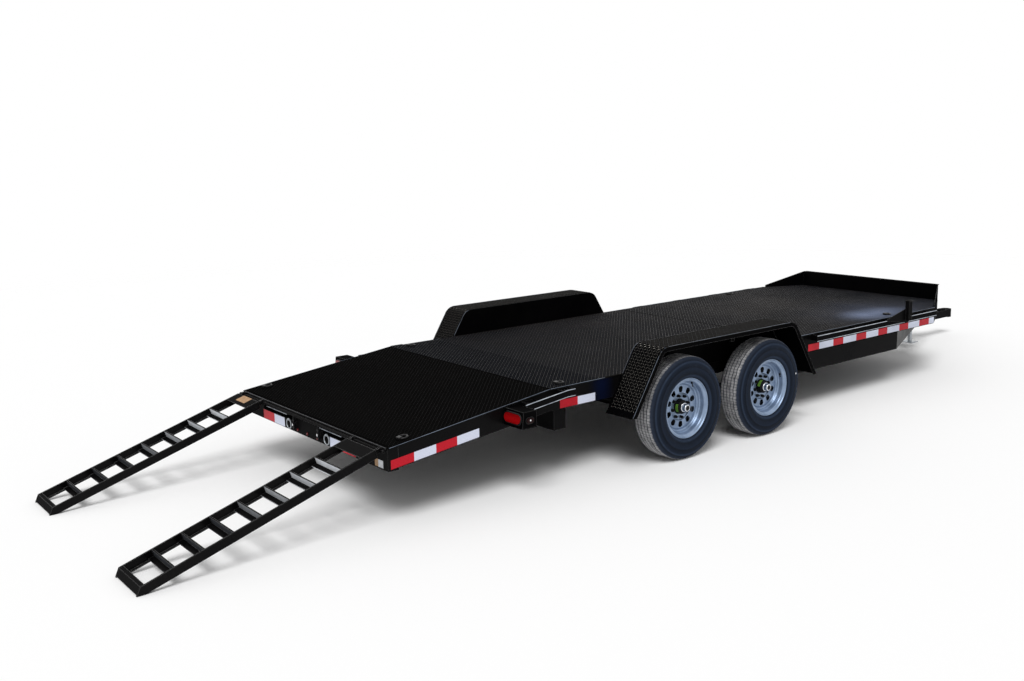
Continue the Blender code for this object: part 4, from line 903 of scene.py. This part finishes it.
def holed_ring(bm, inner, outer, front):
    """Ring of faces from an inner to an outer circle of points with a round hole in each tenth."""
    sign = 1 if front else -1
    y = RIM_PLANE_Y - (DISC_FRONT if front else DISC_BACK)
    loops = []
    for h in range(HOLES):
        border = [inner[(h * PER_HOLE + k) % RIM_STEPS] for k in range(PER_HOLE + 1)]
        border += [outer[(h * PER_HOLE + k) % RIM_STEPS] for k in range(PER_HOLE, -1, -1)]
        a = 2 * math.pi * (h + 0.5) / HOLES
        centre = Vector((HOLE_RING * math.cos(a), y, HOLE_RING * math.sin(a)))
        previous = border
        for grow, sink in HOLE_EDGE:
            ring = []
            for v in border:
                ray = (v.co - centre).normalized()
                ring.append(bm.verts.new(centre + ray * (HOLE_R + grow) - Vector((0, sink * sign, 0))))
            for k in range(len(ring)):
                j = (k + 1) % len(ring)
                bm.faces.new((previous[k], previous[j], ring[j], ring[k]))
            previous = ring
        loops.append(previous)
    return loops


def rim_mesh():
    """The rim and its holed disc as one closed mesh, joined at the outer lip where front and back meet."""
    bm = bmesh.new()
    disc_outer_front = strip_between(bm, front_part)[0]
    disc_outer_back = strip_between(bm, back_part)[1]
    disc_inner_back, disc_inner_front = strip_between(bm, centre_part)
    front_loops = holed_ring(bm, disc_inner_front, disc_outer_front, True)
    back_loops = holed_ring(bm, disc_inner_back, disc_outer_back, False)
    for a, b in zip(front_loops, back_loops):
        for k in range(len(a)):
            j = (k + 1) % len(a)
            bm.faces.new((a[k], a[j], b[j], b[k]))
    bmesh.ops.remove_doubles(bm, verts=bm.verts, dist=1e-6)
    bmesh.ops.recalc_face_normals(bm, faces=bm.faces)
    return bm


# %% [markdown]
# ## Hubs, nuts and grease caps
# The black cast hub stands through the wheel's centre hole and carries a bright pressed cap with a rubber plug. Eight
# hex nuts on an 8 on 6.5 inch circle hold the wheel, each with a chamfered top and the stud's end in it.

# %% Hub, cap, nuts, valve
NUT_RING, NUTS, NUT_ACROSS = 0.0826, 8, 0.0206
HUB_R, MARK_HALF = 0.0545, math.radians(32)          # the hub's barrel, and half the angle of its green mark
VALVE_RING, VALVE_IN, VALVE_LONG, VALVE_OUT = 0.1925, 0.034, 0.030, 0.024
VALVE_FROM_MARK, HUB_STEPS = 116, 48                 # degrees from the mark, faces round the hub
HUB_OUTLINE = rounded([(0, 0.034), (0.036, 0.034), (0.040, 0.040), (0.051, 0.046), (0.054, 0.070), (0.0545, 0.098),
                       (0.150, 0.100), (0.1545, 0.108), (0.155, 0.172), (0.150, 0.1755), (0.0209, 0.1755),
                       (0.0209, 0.106), (0, 0.106)], 0.003, 2)
CAP_OUTLINE = rounded([(0, 0.0015), (0.0185, 0.0015), (0.0190, -0.0005), (0.0235, -0.0005), (0.0270, 0.003),
                       (0.0280, 0.010), (0.0285, 0.030), (0.0335, 0.0310), (0.0340, 0.0365), (0, 0.0365)], 0.002, 3)
PLUG_OUTLINE = [(0, 0.0020), (0.0182, 0.0020), (0.0176, -0.0010), (0.007, -0.0002), (0.006, 0.0008), (0, 0.0008)]
STUD_OUTLINE = [(0, -0.0655), (0.0095, -0.0655), (0.0085, -0.0615), (0.0068, -0.0605), (0.0066, -0.0560), (0, -0.0556)]
NUT_IN, NUT_OUT, NUT_CHAMFER = 0.0815, 0.0645, 0.0010     # depths behind the rim's face
MARK_IN, MARK_OUT = 0.069, 0.046
STEM = ((0, 0.0078), (0.2, 0.0072), (0.35, 0.0050), (0.4, 0.0038), (0.75, 0.0038), (0.78, 0.0048), (1.0, 0.0044))
for name, x, side, marks in WHEELS:
    at, body = (x, 0, TYRE_R), "wheel_" + name
    show("wheel_disc_" + name, rim_mesh(), wheel_silver, body, at, side < 0, 35, ["rim_" + name])
    bm = bmesh.new()
    add_lathe(bm, [(r, RIM_PLANE_Y - t) for r, t in HUB_OUTLINE], HUB_STEPS)
    show("cast_hub_" + name, bm, cast_black, body, at, side < 0, 35, ["rim_" + name])
    bm = bmesh.new()
    add_lathe(bm, [(r, RIM_PLANE_Y - t) for r, t in CAP_OUTLINE], HUB_STEPS)
    show("grease_cap_" + name, bm, bright_cap, body, at, side < 0, 35)
    bm = bmesh.new()
    add_lathe(bm, [(r, RIM_PLANE_Y - t) for r, t in PLUG_OUTLINE], 32)
    show("cap_plug_" + name, bm, black_plastic, body, at, side < 0, 35)
    bm = bmesh.new()
    for k in range(NUTS):
        a = 2 * math.pi * (k + 0.25) / NUTS
        spot = (NUT_RING * math.cos(a), 0, NUT_RING * math.sin(a))
        corners = [(spot[0] + u, spot[2] + v) for u, v in hexagon(NUT_ACROSS, a)]
        add_prism(bm, corners, "Y", RIM_PLANE_Y - NUT_IN, RIM_PLANE_Y - NUT_OUT, NUT_CHAMFER)
        add_lathe(bm, STUD_OUTLINE, 14, "Y", (spot[0], RIM_PLANE_Y, spot[2]))
    show("wheel_nuts_" + name, bm, cast_black, body, at, side < 0, 30)
    bm = bmesh.new()
    add_patch(bm, HUB_R, math.radians(marks), MARK_HALF, RIM_PLANE_Y - MARK_IN, RIM_PLANE_Y - MARK_OUT)
    show("hub_green_mark_" + name, bm, green_mark, body, at, side < 0, 35)
    bm = bmesh.new()
    angle = math.radians(marks - VALVE_FROM_MARK)
    root = Vector((VALVE_RING * math.cos(angle), RIM_PLANE_Y - VALVE_IN, VALVE_RING * math.sin(angle)))
    tip = root - Vector((VALVE_LONG * math.cos(angle), -VALVE_OUT, VALVE_LONG * math.sin(angle)))
    add_tube(bm, [root.lerp(tip, t) for t, r in STEM], [r for t, r in STEM], 12)
    show("valve_stem_" + name, bm, grommet_rubber, body, at, side < 0, 40)
print("wheels dressed")

# %% [markdown]
# ## Reflective tape
# Law asks for red and white blocks along each side and across the tail. Each block is a thin film, 0.4 mm proud of
# the channel it is stuck on, and those on the tail follow the frame's falling lower edge.

# %% Tape
TAPE, TAPE_GAP = 0.0004, 0.00005                   # the film's face, and the hair's breadth behind it
LEVEL_BAND, TAIL_BAND = (0.006, 0.064), (0.008, 0.066)     # above the frame's lower edge
SILL_LOW, SILL_HIGH = 0.360, 0.4255
FRAME_LOW, FRAME_REAR_LOW = 0.503, 0.357
FRONT_TAPE = [1.325, 1.480, 1.683, 1.831, 2.027, 2.182, 2.373, 2.519, 2.717, 2.870, 3.060, 3.228, 3.318]
REAR_TAPE = [(-1.468, -1.305, "red"), (-1.305, -1.140, "white")]
TAIL_TAPE = [(-2.831, -2.662, "red"), (-2.662, -2.497, "white"), (-2.497, -2.335, "red"), (-2.335, -2.160, "white")]
SILL_TAPE = [(0.510, 0.685, "red"), (0.350, 0.510, "white"), (-0.456, -0.300, "white"), (-0.630, -0.456, "red")]


def frame_low(x):
    """Height of the side channel's lower edge."""
    return FRAME_LOW - max(0.0, BREAK_X - x) * (FRAME_LOW - FRAME_REAR_LOW) / (BREAK_X - REAR_X)


def film(bm, x0, x1, band):
    """A strip of film on the outer face of the side channel."""
    low, high = band
    add_prism(bm, [(x0, frame_low(x0) + low), (x1, frame_low(x1) + low), (x1, frame_low(x1) + high),
                   (x0, frame_low(x0) + high)], "Y", FRAME_HALF + TAPE_GAP, FRAME_HALF + TAPE)


for side, word in SIDES:
    films = {"red": bmesh.new(), "white": bmesh.new()}
    for n, (x0, x1) in enumerate(zip(FRONT_TAPE, FRONT_TAPE[1:])):
        film(films["white" if n % 2 else "red"], x0, x1, LEVEL_BAND)
    for blocks, band in ((REAR_TAPE, LEVEL_BAND), (TAIL_TAPE, TAIL_BAND)):
        for x0, x1, shade in blocks:
            film(films[shade], x0, x1, band)
    for shade, material in (("red", tape_red), ("white", tape_white)):
        show("side_tape_%s_%s" % (shade, word), films[shade], material, mirror=side < 0, smooth=0)
for shade, material in (("red", tape_red), ("white", tape_white)):
    bm = bmesh.new()
    for y0, y1, kind in SILL_TAPE:
        if kind == shade:
            add_block(bm, (REAR_X - TAPE, y0, SILL_LOW), (REAR_X - TAPE_GAP, y1, SILL_HIGH), 0)
    show("sill_tape_" + shade, bm, material, smooth=0)
print("tape laid")

# %% [markdown]
# ## Lamps
# Each tail lamp is a 165 mm oval in a rubber grommet pushed into the leaning face of its light box, and a smaller oval
# marker sits in the box's side. Boxes and lenses are on the solids, so here they get their grommets, which are rods
# bent round an oval. Three small round lamps stand in the rear sill.


# %% Lamps
def oval(long, tall, steps):
    """Points round a flat oval with half-round ends."""
    half = (long - tall) / 2
    points = []
    for k in range(steps + 1):
        a = -math.pi / 2 + math.pi * k / steps
        points.append((half + tall / 2 * math.cos(a), tall / 2 * math.sin(a)))
    return points + [(-x, -z) for x, z in points]


BOX_X, BOX_FRONT_X, BOX_SIDE_Y, BOX_LEAN, BOX_LOW, BOX_HIGH = -1.962, -1.842, 1.216, 0.012, 0.492, 0.604
LAMP_Y, LAMP_Z, MARKER_Z = 1.116, 0.550, 0.545
lean = math.atan2(BOX_LEAN, BOX_HIGH - BOX_LOW)
lamp_x = BOX_X + BOX_LEAN * (LAMP_Z - BOX_LOW) / (BOX_HIGH - BOX_LOW)
marker_x = (BOX_X + BOX_FRONT_X) / 2
for side, word in SIDES:
    bm = bmesh.new()
    add_tube(bm, [(-0.004, y, z) for y, z in oval(0.172, 0.070, 14)], 0.0048, 8, closed=True)
    turned(bm, bm.verts[:], Matrix.Rotation(lean, 3, "Y"))
    bmesh.ops.translate(bm, vec=(lamp_x, LAMP_Y, LAMP_Z), verts=bm.verts[:])
    show("tail_lamp_grommet_" + word, bm, grommet_rubber, mirror=side < 0)
    bm = bmesh.new()
    add_tube(bm, [(x, 0, z) for x, z in oval(0.064, 0.040, 10)], 0.0036, 8, closed=True)
    bmesh.ops.translate(bm, vec=(marker_x, BOX_SIDE_Y + 0.0034, MARKER_Z), verts=bm.verts[:])
    show("marker_grommet_" + word, bm, grommet_rubber, mirror=side < 0)
    # Painted highlight: a white spot in the middle of the marker lens, for the glint of its gloss.
    bm = bmesh.new()
    add_lathe(bm, [(0, 1.2281), (0.0060, 1.2281), (0.0056, 1.2289), (0, 1.2291)], 14, "Y",
              (marker_x, 0, MARKER_Z + 0.002))
    show("marker_painted_glint_" + word, bm, white_mark, mirror=side < 0)
bm = bmesh.new()
for y in (0.152, 0.012, -0.133):
    add_lathe(bm, [(0, -0.0075), (0.0085, -0.0068), (0.0105, -0.0025), (0.0108, -0.0003), (0, -0.0003)], 20, "X",
              (REAR_X, y, 0.378))
show("sill_lamps", bm, small_lens)
print("lamps dressed")

# %% [markdown]
# ## The rear sill
# The sill carries a blank label of foil with a strip of paper beside it, both as thin as film. Each ramp latch has a
# dot of white paint and a zinc plated pull ring in a small clip. Along the lower lips of the two ramp slots the sky
# shows as a bright line, and two short rods of light paint draw it as a painted highlight.

# %% Labels, latch rings and slot lips
LABEL_FACE, LABEL_BACK, LABEL_LOW, LABEL_HIGH = 0.0006, 0.0001, 0.366, 0.414
for name, y0, y1, paint in (("blank_label_sill", -0.962, -0.905, foil_label),
                            ("blank_label_sill_edge", -0.9048, -0.866, tan_label)):
    bm = bmesh.new()
    add_block(bm, (REAR_X - LABEL_FACE, y0, LABEL_LOW), (REAR_X - LABEL_BACK, y1, LABEL_HIGH), 0)
    show(name, bm, paint, smooth=0)
LATCH_Y, PULL_Y, PULL_Z, PULL_R = 0.176, 0.270, 0.400, 0.033
dots, pulls, lips = bmesh.new(), bmesh.new(), bmesh.new()
for side in (1, -1):
    y = side * LATCH_Y
    add_block(dots, (REAR_X - 0.0284, y - 0.006, 0.4075), (REAR_X - 0.0274, y + 0.006, 0.4225), 0.0003)
    y = side * PULL_Y
    add_tube(pulls, [(REAR_X - 0.0080, y + PULL_R * math.cos(a), PULL_Z + PULL_R * math.sin(a)) for a in circle(32)],
             0.0042, 8, closed=True)
    add_block(pulls, (REAR_X - 0.0140, y - 0.009, 0.424), (REAR_X - 0.0001, y + 0.009, 0.440), 0.002)
LIP_Z, LIP_OUT, LIP_R = 0.4585, 0.0020, 0.0024
for y0, y1 in ((0.310, 0.622), (-0.456, -0.150)):
    add_tube(lips, [(REAR_X - LIP_OUT, y, LIP_Z) for y in (y0, y1)], LIP_R, 8)
show("latch_marks", dots, white_mark, smooth=0)
show("latch_pull_rings", pulls, zinc_plate)
show("slot_lip_painted_glints", lips, bright_edge_highlight)
print("sill dressed")

# %% [markdown]
# ## Tie-down rings
# Each ring is a forged D welded down under a short bent strap. The solids hold the plain form, and this piece stands
# in its place with a rounder ring and a strap that wraps it.

# %% Tie-down rings
RING_R, RING_ROD, RING_FLAT = 0.030, 0.0062, -0.0245     # the D is a circle cut flat behind
RING_LIFT = 0.0072                                       # its rod's middle above the deck
RINGS = (("rear", -2.690, 0.940), ("middle", -1.400, 0.930), ("front", 2.640, 0.930))
loop = [(max(RING_R * math.cos(a), RING_FLAT), RING_R * math.sin(a), 0.0) for a in circle(28)]
for side, word in SIDES:
    for place_name, x, y in RINGS:
        bm = bmesh.new()
        add_tube(bm, loop, RING_ROD, 10, closed=True)
        add_block(bm, (-0.040, -0.019, -0.0066), (-0.012, 0.019, 0.0105), 0.003)
        tilt = -FALL if x < BREAK_X else 0.0
        z = deck_point(x, y)[0][2] + RING_LIFT
        turned(bm, bm.verts[:], Matrix.Rotation(tilt, 3, "Y"))
        show("tie_ring_%s_%s" % (place_name, word), bm, weld_steel, at=(x, side * y, z),
             replaces=["d_ring_%s_%s" % (place_name, word)])
print("rings made:", len(RINGS) * len(SIDES))

# %% [markdown]
# ## Edges that catch the light
# The rounded corners of the rub rails, the fender's rolled lips and the deck's edge mirror the sky as a thin line. Each
# line is a painted highlight: a thin rod of light paint laid just into its corner, so it follows the solid it belongs
# to and stands out by less than 2 mm.

# %% Edge lines
RUB_Y, RUB_LOW, RUB_HIGH, RUB_FALL, RUB_KNEE = 1.090, 0.600, 0.648, 0.112, BREAK_X + 0.10
RUB_FRONT, RUB_REAR = (1.350, 3.235), (-1.825, RUB_KNEE, -1.389)
RUB_ROD, LIP_ROD, INNER_ROD, DECK_ROD, TAIL_ROD = 0.0030, 0.0027, 0.0022, 0.0020, 0.0018
INNER_FROM, INNER_RUN = 0.31, 0.26         # the inner lip shows from the deck to the bend, measured from the rear foot
POST_X0, POST_X1, POST_Y, POST_Z = 2.676, 2.740, -1.1345, 0.8042


def lip_line(lengths, y, inset):
    """Points just inside the fender strip at some lengths along it."""
    spots = [fender_point(u, 0) for u in lengths]
    return [(spot[0] - out[0] * inset, y, spot[2] - out[2] * inset) for spot, way, across, out in spots]


for side, word in SIDES:
    bm = bmesh.new()
    for level in (RUB_LOW + 0.0018, RUB_HIGH - 0.0018):
        add_tube(bm, [(x, RUB_Y - 0.0016, level) for x in RUB_FRONT], RUB_ROD, 6)
        rear = [(x, RUB_Y - 0.0016, level - RUB_FALL * max(0.0, RUB_KNEE - x)) for x in RUB_REAR]
        add_tube(bm, rear, RUB_ROD, 6)
    show("rub_rail_edges_" + word, bm, bright_edge_highlight, mirror=side < 0)
    bm = bmesh.new()
    whole = [steps[-1] * (0.004 + 0.992 * k / 60) for k in range(61)]
    add_tube(bm, lip_line(whole, FENDER_OUT - 0.0030, 0.0016), LIP_ROD, 6)
    slope = [steps[-1] - INNER_FROM - INNER_RUN * k / 16 for k in range(17)]
    add_tube(bm, lip_line(slope, FENDER_IN + 0.0024, 0.0014), INNER_ROD, 6)
    for ends in ((REAR_X + 0.01, BREAK_X - 0.004), (BREAK_X + 0.004, -FENDER_LOW_HALF), (FENDER_LOW_HALF, CORNER_X)):
        add_tube(bm, [(x, DECK_HALF - 0.0012, deck_point(x, 0)[0][2] - 0.0012) for x in ends], DECK_ROD, 6)
    show("rounded_edges_" + word, bm, soft_edge_highlight, mirror=side < 0)
bm = bmesh.new()
tail_half = DECK_HALF - 0.02
add_tube(bm, [(REAR_X + 0.0008, y, DECK_REAR_TOP - 0.0010) for y in (-tail_half, tail_half)], TAIL_ROD, 6)
add_tube(bm, [(x, POST_Y, POST_Z) for x in (POST_X0, POST_X1)], TAIL_ROD, 6)
show("rounded_edge_tail_and_post", bm, dim_edge_highlight)
print("edge lines laid")

# %% [markdown]
# ## Ramps
# Each ramp is two steel angles with rungs of smaller angle welded between them. The weld beads are a rippled rod along
# each joint. The ramps are built flat with the hinge line at the origin, and then turned down to where the solids lie.
# A blank paper label is left on the head plate of the left ramp.

# %% Ramp welds and label
RAMP_TURN = Matrix.Rotation(-RAMP_SLOPE, 3, "Y")
RUNG_FIRST, RUNG_STEP, RUNGS = 0.275, 0.1805, 7
WEB, WELD_IN = 0.009, 0.0008          # thickness of the side angles, and how far a bead stands off them
RUNG_LOW, RUNG_HIGH, RUNG_FOOT, RUNG_DEEP = -0.018, 0.017, -0.0215, 0.033
for side, word in SIDES:
    bm = bmesh.new()
    joints = (RAMP_IN + WEB + WELD_IN, RAMP_OUT - WEB - WELD_IN)
    for k in range(RUNGS):
        s = RUNG_FIRST + RUNG_STEP * k
        for y in joints:
            add_bead(bm, (-s - 0.0012, y, RUNG_LOW), (-s - 0.0012, y, RUNG_HIGH))
            add_bead(bm, (-s - 0.004, y, RUNG_FOOT), (-s - RUNG_DEEP, y, RUNG_FOOT), 0.0028, 10)
    for y in joints:
        add_bead(bm, (-0.034, y, 0.0196), (-0.126, y, 0.0196), 0.0026, 26)      # along the head plate
        add_bead(bm, (-1.530, y, 0.0165), (-1.548, y, 0.0165), 0.0028, 6)       # at the foot
    turned(bm, bm.verts[:], RAMP_TURN)
    show("ramp_welds_" + word, bm, weld_steel, "ramp_" + word, HINGE, side < 0)
bm = bmesh.new()
add_block(bm, (-0.098, 0.738, 0.0211), (-0.028, 0.880, 0.0214), 0)
turned(bm, bm.verts[:], RAMP_TURN)
show("blank_label_ramp", bm, tan_label, "ramp_left", HINGE, smooth=0)
print("weld beads laid on", RUNGS, "rungs a ramp")

# %% [markdown]
# ## Small hardware
# Hex heads and threaded U-bolts are bought parts, zinc plated or painted over with the frame. The U-bolts clamp each
# leaf spring to its axle, the eye bolts hang it from the frame, and the post is held to the rub rail by two bolts.
# One object holds all the bolts of one kind.

# %% Bolts and U-bolts
SPRING_Y, SPRING_HALF, SPRING_EYE_Z, AXLE_Z = 0.990, 0.330, 0.442, 0.300
EYE_FACE = FRAME_HALF + 0.0002
PLATE_X, PLATE_Y, PLATE_LOW, PLATE_HIGH = 0.052, 0.040, 0.3762, 0.3835      # the plate over the spring's leaves
BOW_R, BOW_Y, BOW_DROP, BOW_TOP, BOW_ROD = 0.0385, 0.029, 0.004, 0.400, 0.0058
NUT_LOW, NUT_HIGH = 0.3837, 0.3945
painted, bright, bows = bmesh.new(), bmesh.new(), bmesh.new()
for side in (-1, 1):
    spring_y = side * SPRING_Y
    for axle in (-AXLE_X, AXLE_X):
        for eye in (-SPRING_HALF, SPRING_HALF):
            add_bolt(painted, (axle + eye, side * EYE_FACE, SPRING_EYE_Z), (0, side, 0), 0.024, 0.010)
        add_block(painted, (axle - PLATE_X, spring_y - PLATE_Y, PLATE_LOW),
                  (axle + PLATE_X, spring_y + PLATE_Y, PLATE_HIGH), 0.002)
        legs = (axle - BOW_R, axle + BOW_R)
        for y in (spring_y - BOW_Y, spring_y + BOW_Y):
            arc = [(axle + BOW_R * math.cos(a), y, AXLE_Z - BOW_DROP + BOW_R * math.sin(a))
                   for a in (math.pi * (1 + k / 12) for k in range(13))]
            add_tube(bows, [(legs[0], y, BOW_TOP)] + arc + [(legs[1], y, BOW_TOP)], BOW_ROD, 8)
            for x in legs:
                add_prism(bows, [(x + u, y + v) for u, v in hexagon(0.019)], "Z", NUT_LOW, NUT_HIGH, 0.0010)
    add_bolt(painted, (0, side * EYE_FACE, SPRING_EYE_Z + 0.030), (0, side, 0), 0.024, 0.010)     # the equalizer's
for x in (2.695, 2.721):
    add_bolt(bright, (x, -1.0990, 0.626), (0, -1, 0), 0.013, 0.0055)                              # the post's
show("eye_bolts_and_spring_plates", painted, weld_steel, smooth=30)
show("spring_u_bolts", bows, zinc_plate, smooth=30)
print("spring bolts made")

# %% [markdown]
# ## Tongue hardware
# The coupler is held to the tongue's nose by hex bolts, and the jack's flange by three more. The jack has a pressed cap
# and a plastic grip on its crank. A strap holds down the lid of the battery box. None of this faces the camera.

# %% Coupler and jack
JACK_X, JACK_TOP, JACK_R, JACK_LOW, FLANGE_TOP, FLANGE_RING = 4.640, 0.622, 0.030, 0.220, 0.5190, 0.048
NOSE_FACE = 4.9263
BEAD_LUMPS = 60
for y, z in ((0.044, 0.345), (0.044, 0.455), (0.0515, 0.240)):
    for side in (-1, 1):
        add_bolt(bright, (NOSE_FACE, side * y, z), (1, 0, 0), 0.016, 0.0085)
for k in range(3):
    a = math.radians(90 + 120 * k)
    add_bolt(bright, (JACK_X + FLANGE_RING * math.cos(a), FLANGE_RING * math.sin(a), FLANGE_TOP), (0, 0, 1),
             0.014, 0.0075)
show("post_coupler_and_jack_bolts", bright, zinc_plate, smooth=30)
bm = bmesh.new()
cap = rounded([(0, JACK_TOP - 0.004), (0, JACK_TOP + 0.0012), (0.026, JACK_TOP + 0.0010),
               (0.0318, JACK_TOP - 0.002), (0.0318, JACK_TOP - 0.014), (0.0302, JACK_TOP - 0.014)], 0.002, 2)
add_lathe(bm, cap + [(0.0300, JACK_TOP - 0.004)], 32, "Z", (JACK_X, 0, 0))
collar_in, collar_out = JACK_R + 0.0002, JACK_R + 0.0022
for level, height in ((JACK_LOW + 0.0002, 0.012), (0.400, 0.006)):
    add_lathe(bm, [(collar_in, level), (collar_out, level + 0.001), (collar_out, level + height - 0.001),
                   (collar_in, level + height)], 32, "Z", (JACK_X, 0, 0))
bead = [(JACK_X + (JACK_R + 0.002) * math.cos(a), (JACK_R + 0.002) * math.sin(a), FLANGE_TOP + 0.001)
        for a in circle(BEAD_LUMPS)]
add_tube(bm, bead, [0.0034 if k % 2 else 0.0027 for k in range(BEAD_LUMPS)], 6, closed=True)
show("jack_collars", bm, weld_steel)

# %% Crank grip and battery box strap
GRIP_X, GRIP_Z = JACK_X - 0.155, 0.578
BOX_X0, BOX_X1, LID_TOP, STRAP_LOW, STRAP_HALF, STRAP_THICK = 4.143, 4.347, 0.5075, 0.372, 0.016, 0.0020
bm = bmesh.new()
add_lathe(bm, rounded([(0.0112, 0.118), (0.0150, 0.118), (0.0158, 0.135), (0.0148, 0.165), (0.0160, 0.195),
                       (0.0146, 0.210), (0.0112, 0.210)], 0.003, 2), 20, "Y", (GRIP_X, 0, GRIP_Z))
add_block(bm, (BOX_X0 - 0.0002, -STRAP_HALF, LID_TOP + 0.0001),
          (BOX_X1 + 0.0002, STRAP_HALF, LID_TOP + STRAP_THICK), 0.0006)
for x0, x1 in ((BOX_X0 - 0.0022, BOX_X0 - 0.0001), (BOX_X1 + 0.0001, BOX_X1 + 0.0022)):
    add_block(bm, (x0, -STRAP_HALF, STRAP_LOW), (x1, STRAP_HALF, LID_TOP + STRAP_THICK), 0.0006)
add_block(bm, (BOX_X1 + 0.0001, -0.022, 0.452), (BOX_X1 + 0.0085, 0.022, 0.482), 0.002)     # the strap's buckle
show("jack_grip_and_box_strap", bm, black_plastic)
print("tongue hardware made")

# %% [markdown]
# ## Studio
# A plain pale floor and a white surround, with one soft sun from behind the trailer's right rear corner. The surround
# shows white to the eye and in reflections but lights less than it shows, and the two together light a level face at
# just the strength where a colour renders as written. The floor keeps the trailer's shadow and thins out to nothing
# some metres away, so that no horizon line crosses the picture.

# %% Floor
FLOOR_HALF, FLOOR_SINK, FADE_FROM, FADE_TO = 40, 0.0005, 8.0, 15.0     # metres; it thins out between the last two
bm = bmesh.new()
bmesh.ops.create_grid(bm, x_segments=1, y_segments=1, size=FLOOR_HALF)
mesh = bpy.data.meshes.new("studio_floor")
bm.to_mesh(mesh)
bm.free()
floor = bpy.data.objects.new("studio_floor", mesh)
floor.location = (0, 0, -FLOOR_SINK)
scene.collection.objects.link(floor)
floor_paint, tree, shader = finish_named("pale_floor_paint", Roughness=0.9, Specular_IOR_Level=0.0)
shader.inputs["Base Color"].default_value = colour("#ffffff")
place = put(tree, "ShaderNodeTexCoord")
reach = put(tree, "ShaderNodeVectorMath", {0: (place, "Object")}, operation="LENGTH")
thin = put(tree, "ShaderNodeMapRange", {"Value": (reach, "Value"), "From Min": FADE_FROM, "From Max": FADE_TO},
           interpolation_type="SMOOTHSTEP")
nothing = put(tree, "ShaderNodeBsdfTransparent")
blend = put(tree, "ShaderNodeMixShader", {"Fac": (thin, "Result"), 1: (shader, "BSDF"), 2: (nothing, "BSDF")})
tree.links.new(blend.outputs["Shader"], tree.nodes["Material Output"].inputs["Surface"])
floor.data.materials.append(floor_paint)
print("floor laid, %d m wide" % (2 * FLOOR_HALF))

# %% Surround and sun
SURROUND_LIGHT, SUN_FROM, SUN_SOFT = 0.52, Vector((-0.45, -0.38, 0.81)), math.radians(28)
world = bpy.data.worlds.new("white_surround")
scene.world = world
world.use_nodes = True
tree = world.node_tree
background = tree.nodes["Background"]
background.inputs["Color"].default_value = (1, 1, 1, 1)
path = put(tree, "ShaderNodeLightPath")
seen = put(tree, "ShaderNodeMath", {0: (path, "Is Camera Ray"), 1: (path, "Is Glossy Ray")}, operation="MAXIMUM")
seen = put(tree, "ShaderNodeMath", {0: (seen, "Value"), 1: (path, "Is Transmission Ray")}, operation="MAXIMUM")
strength = put(tree, "ShaderNodeMapRange", {"Value": (seen, "Value"), "To Min": SURROUND_LIGHT, "To Max": 1.0})
tree.links.new(strength.outputs["Result"], background.inputs["Strength"])

lamp = bpy.data.lights.new("soft_sun", "SUN")
lamp.angle = SUN_SOFT
lamp.energy = (1 - SURROUND_LIGHT) * math.pi / SUN_FROM.normalized().z
holder = bpy.data.objects.new("soft_sun", lamp)
holder.rotation_euler = SUN_FROM.to_track_quat("Z", "Y").to_euler()
scene.collection.objects.link(holder)
scene.view_settings.view_transform = "Standard"
print("sun strength %.2f, surround %.2f" % (lamp.energy, SURROUND_LIGHT))

# %% [markdown]
# ## Last update
# The last step brings every object's place up to date. The picture model has to fill the same box as the solids.

# %% Last update
bpy.context.view_layer.update()
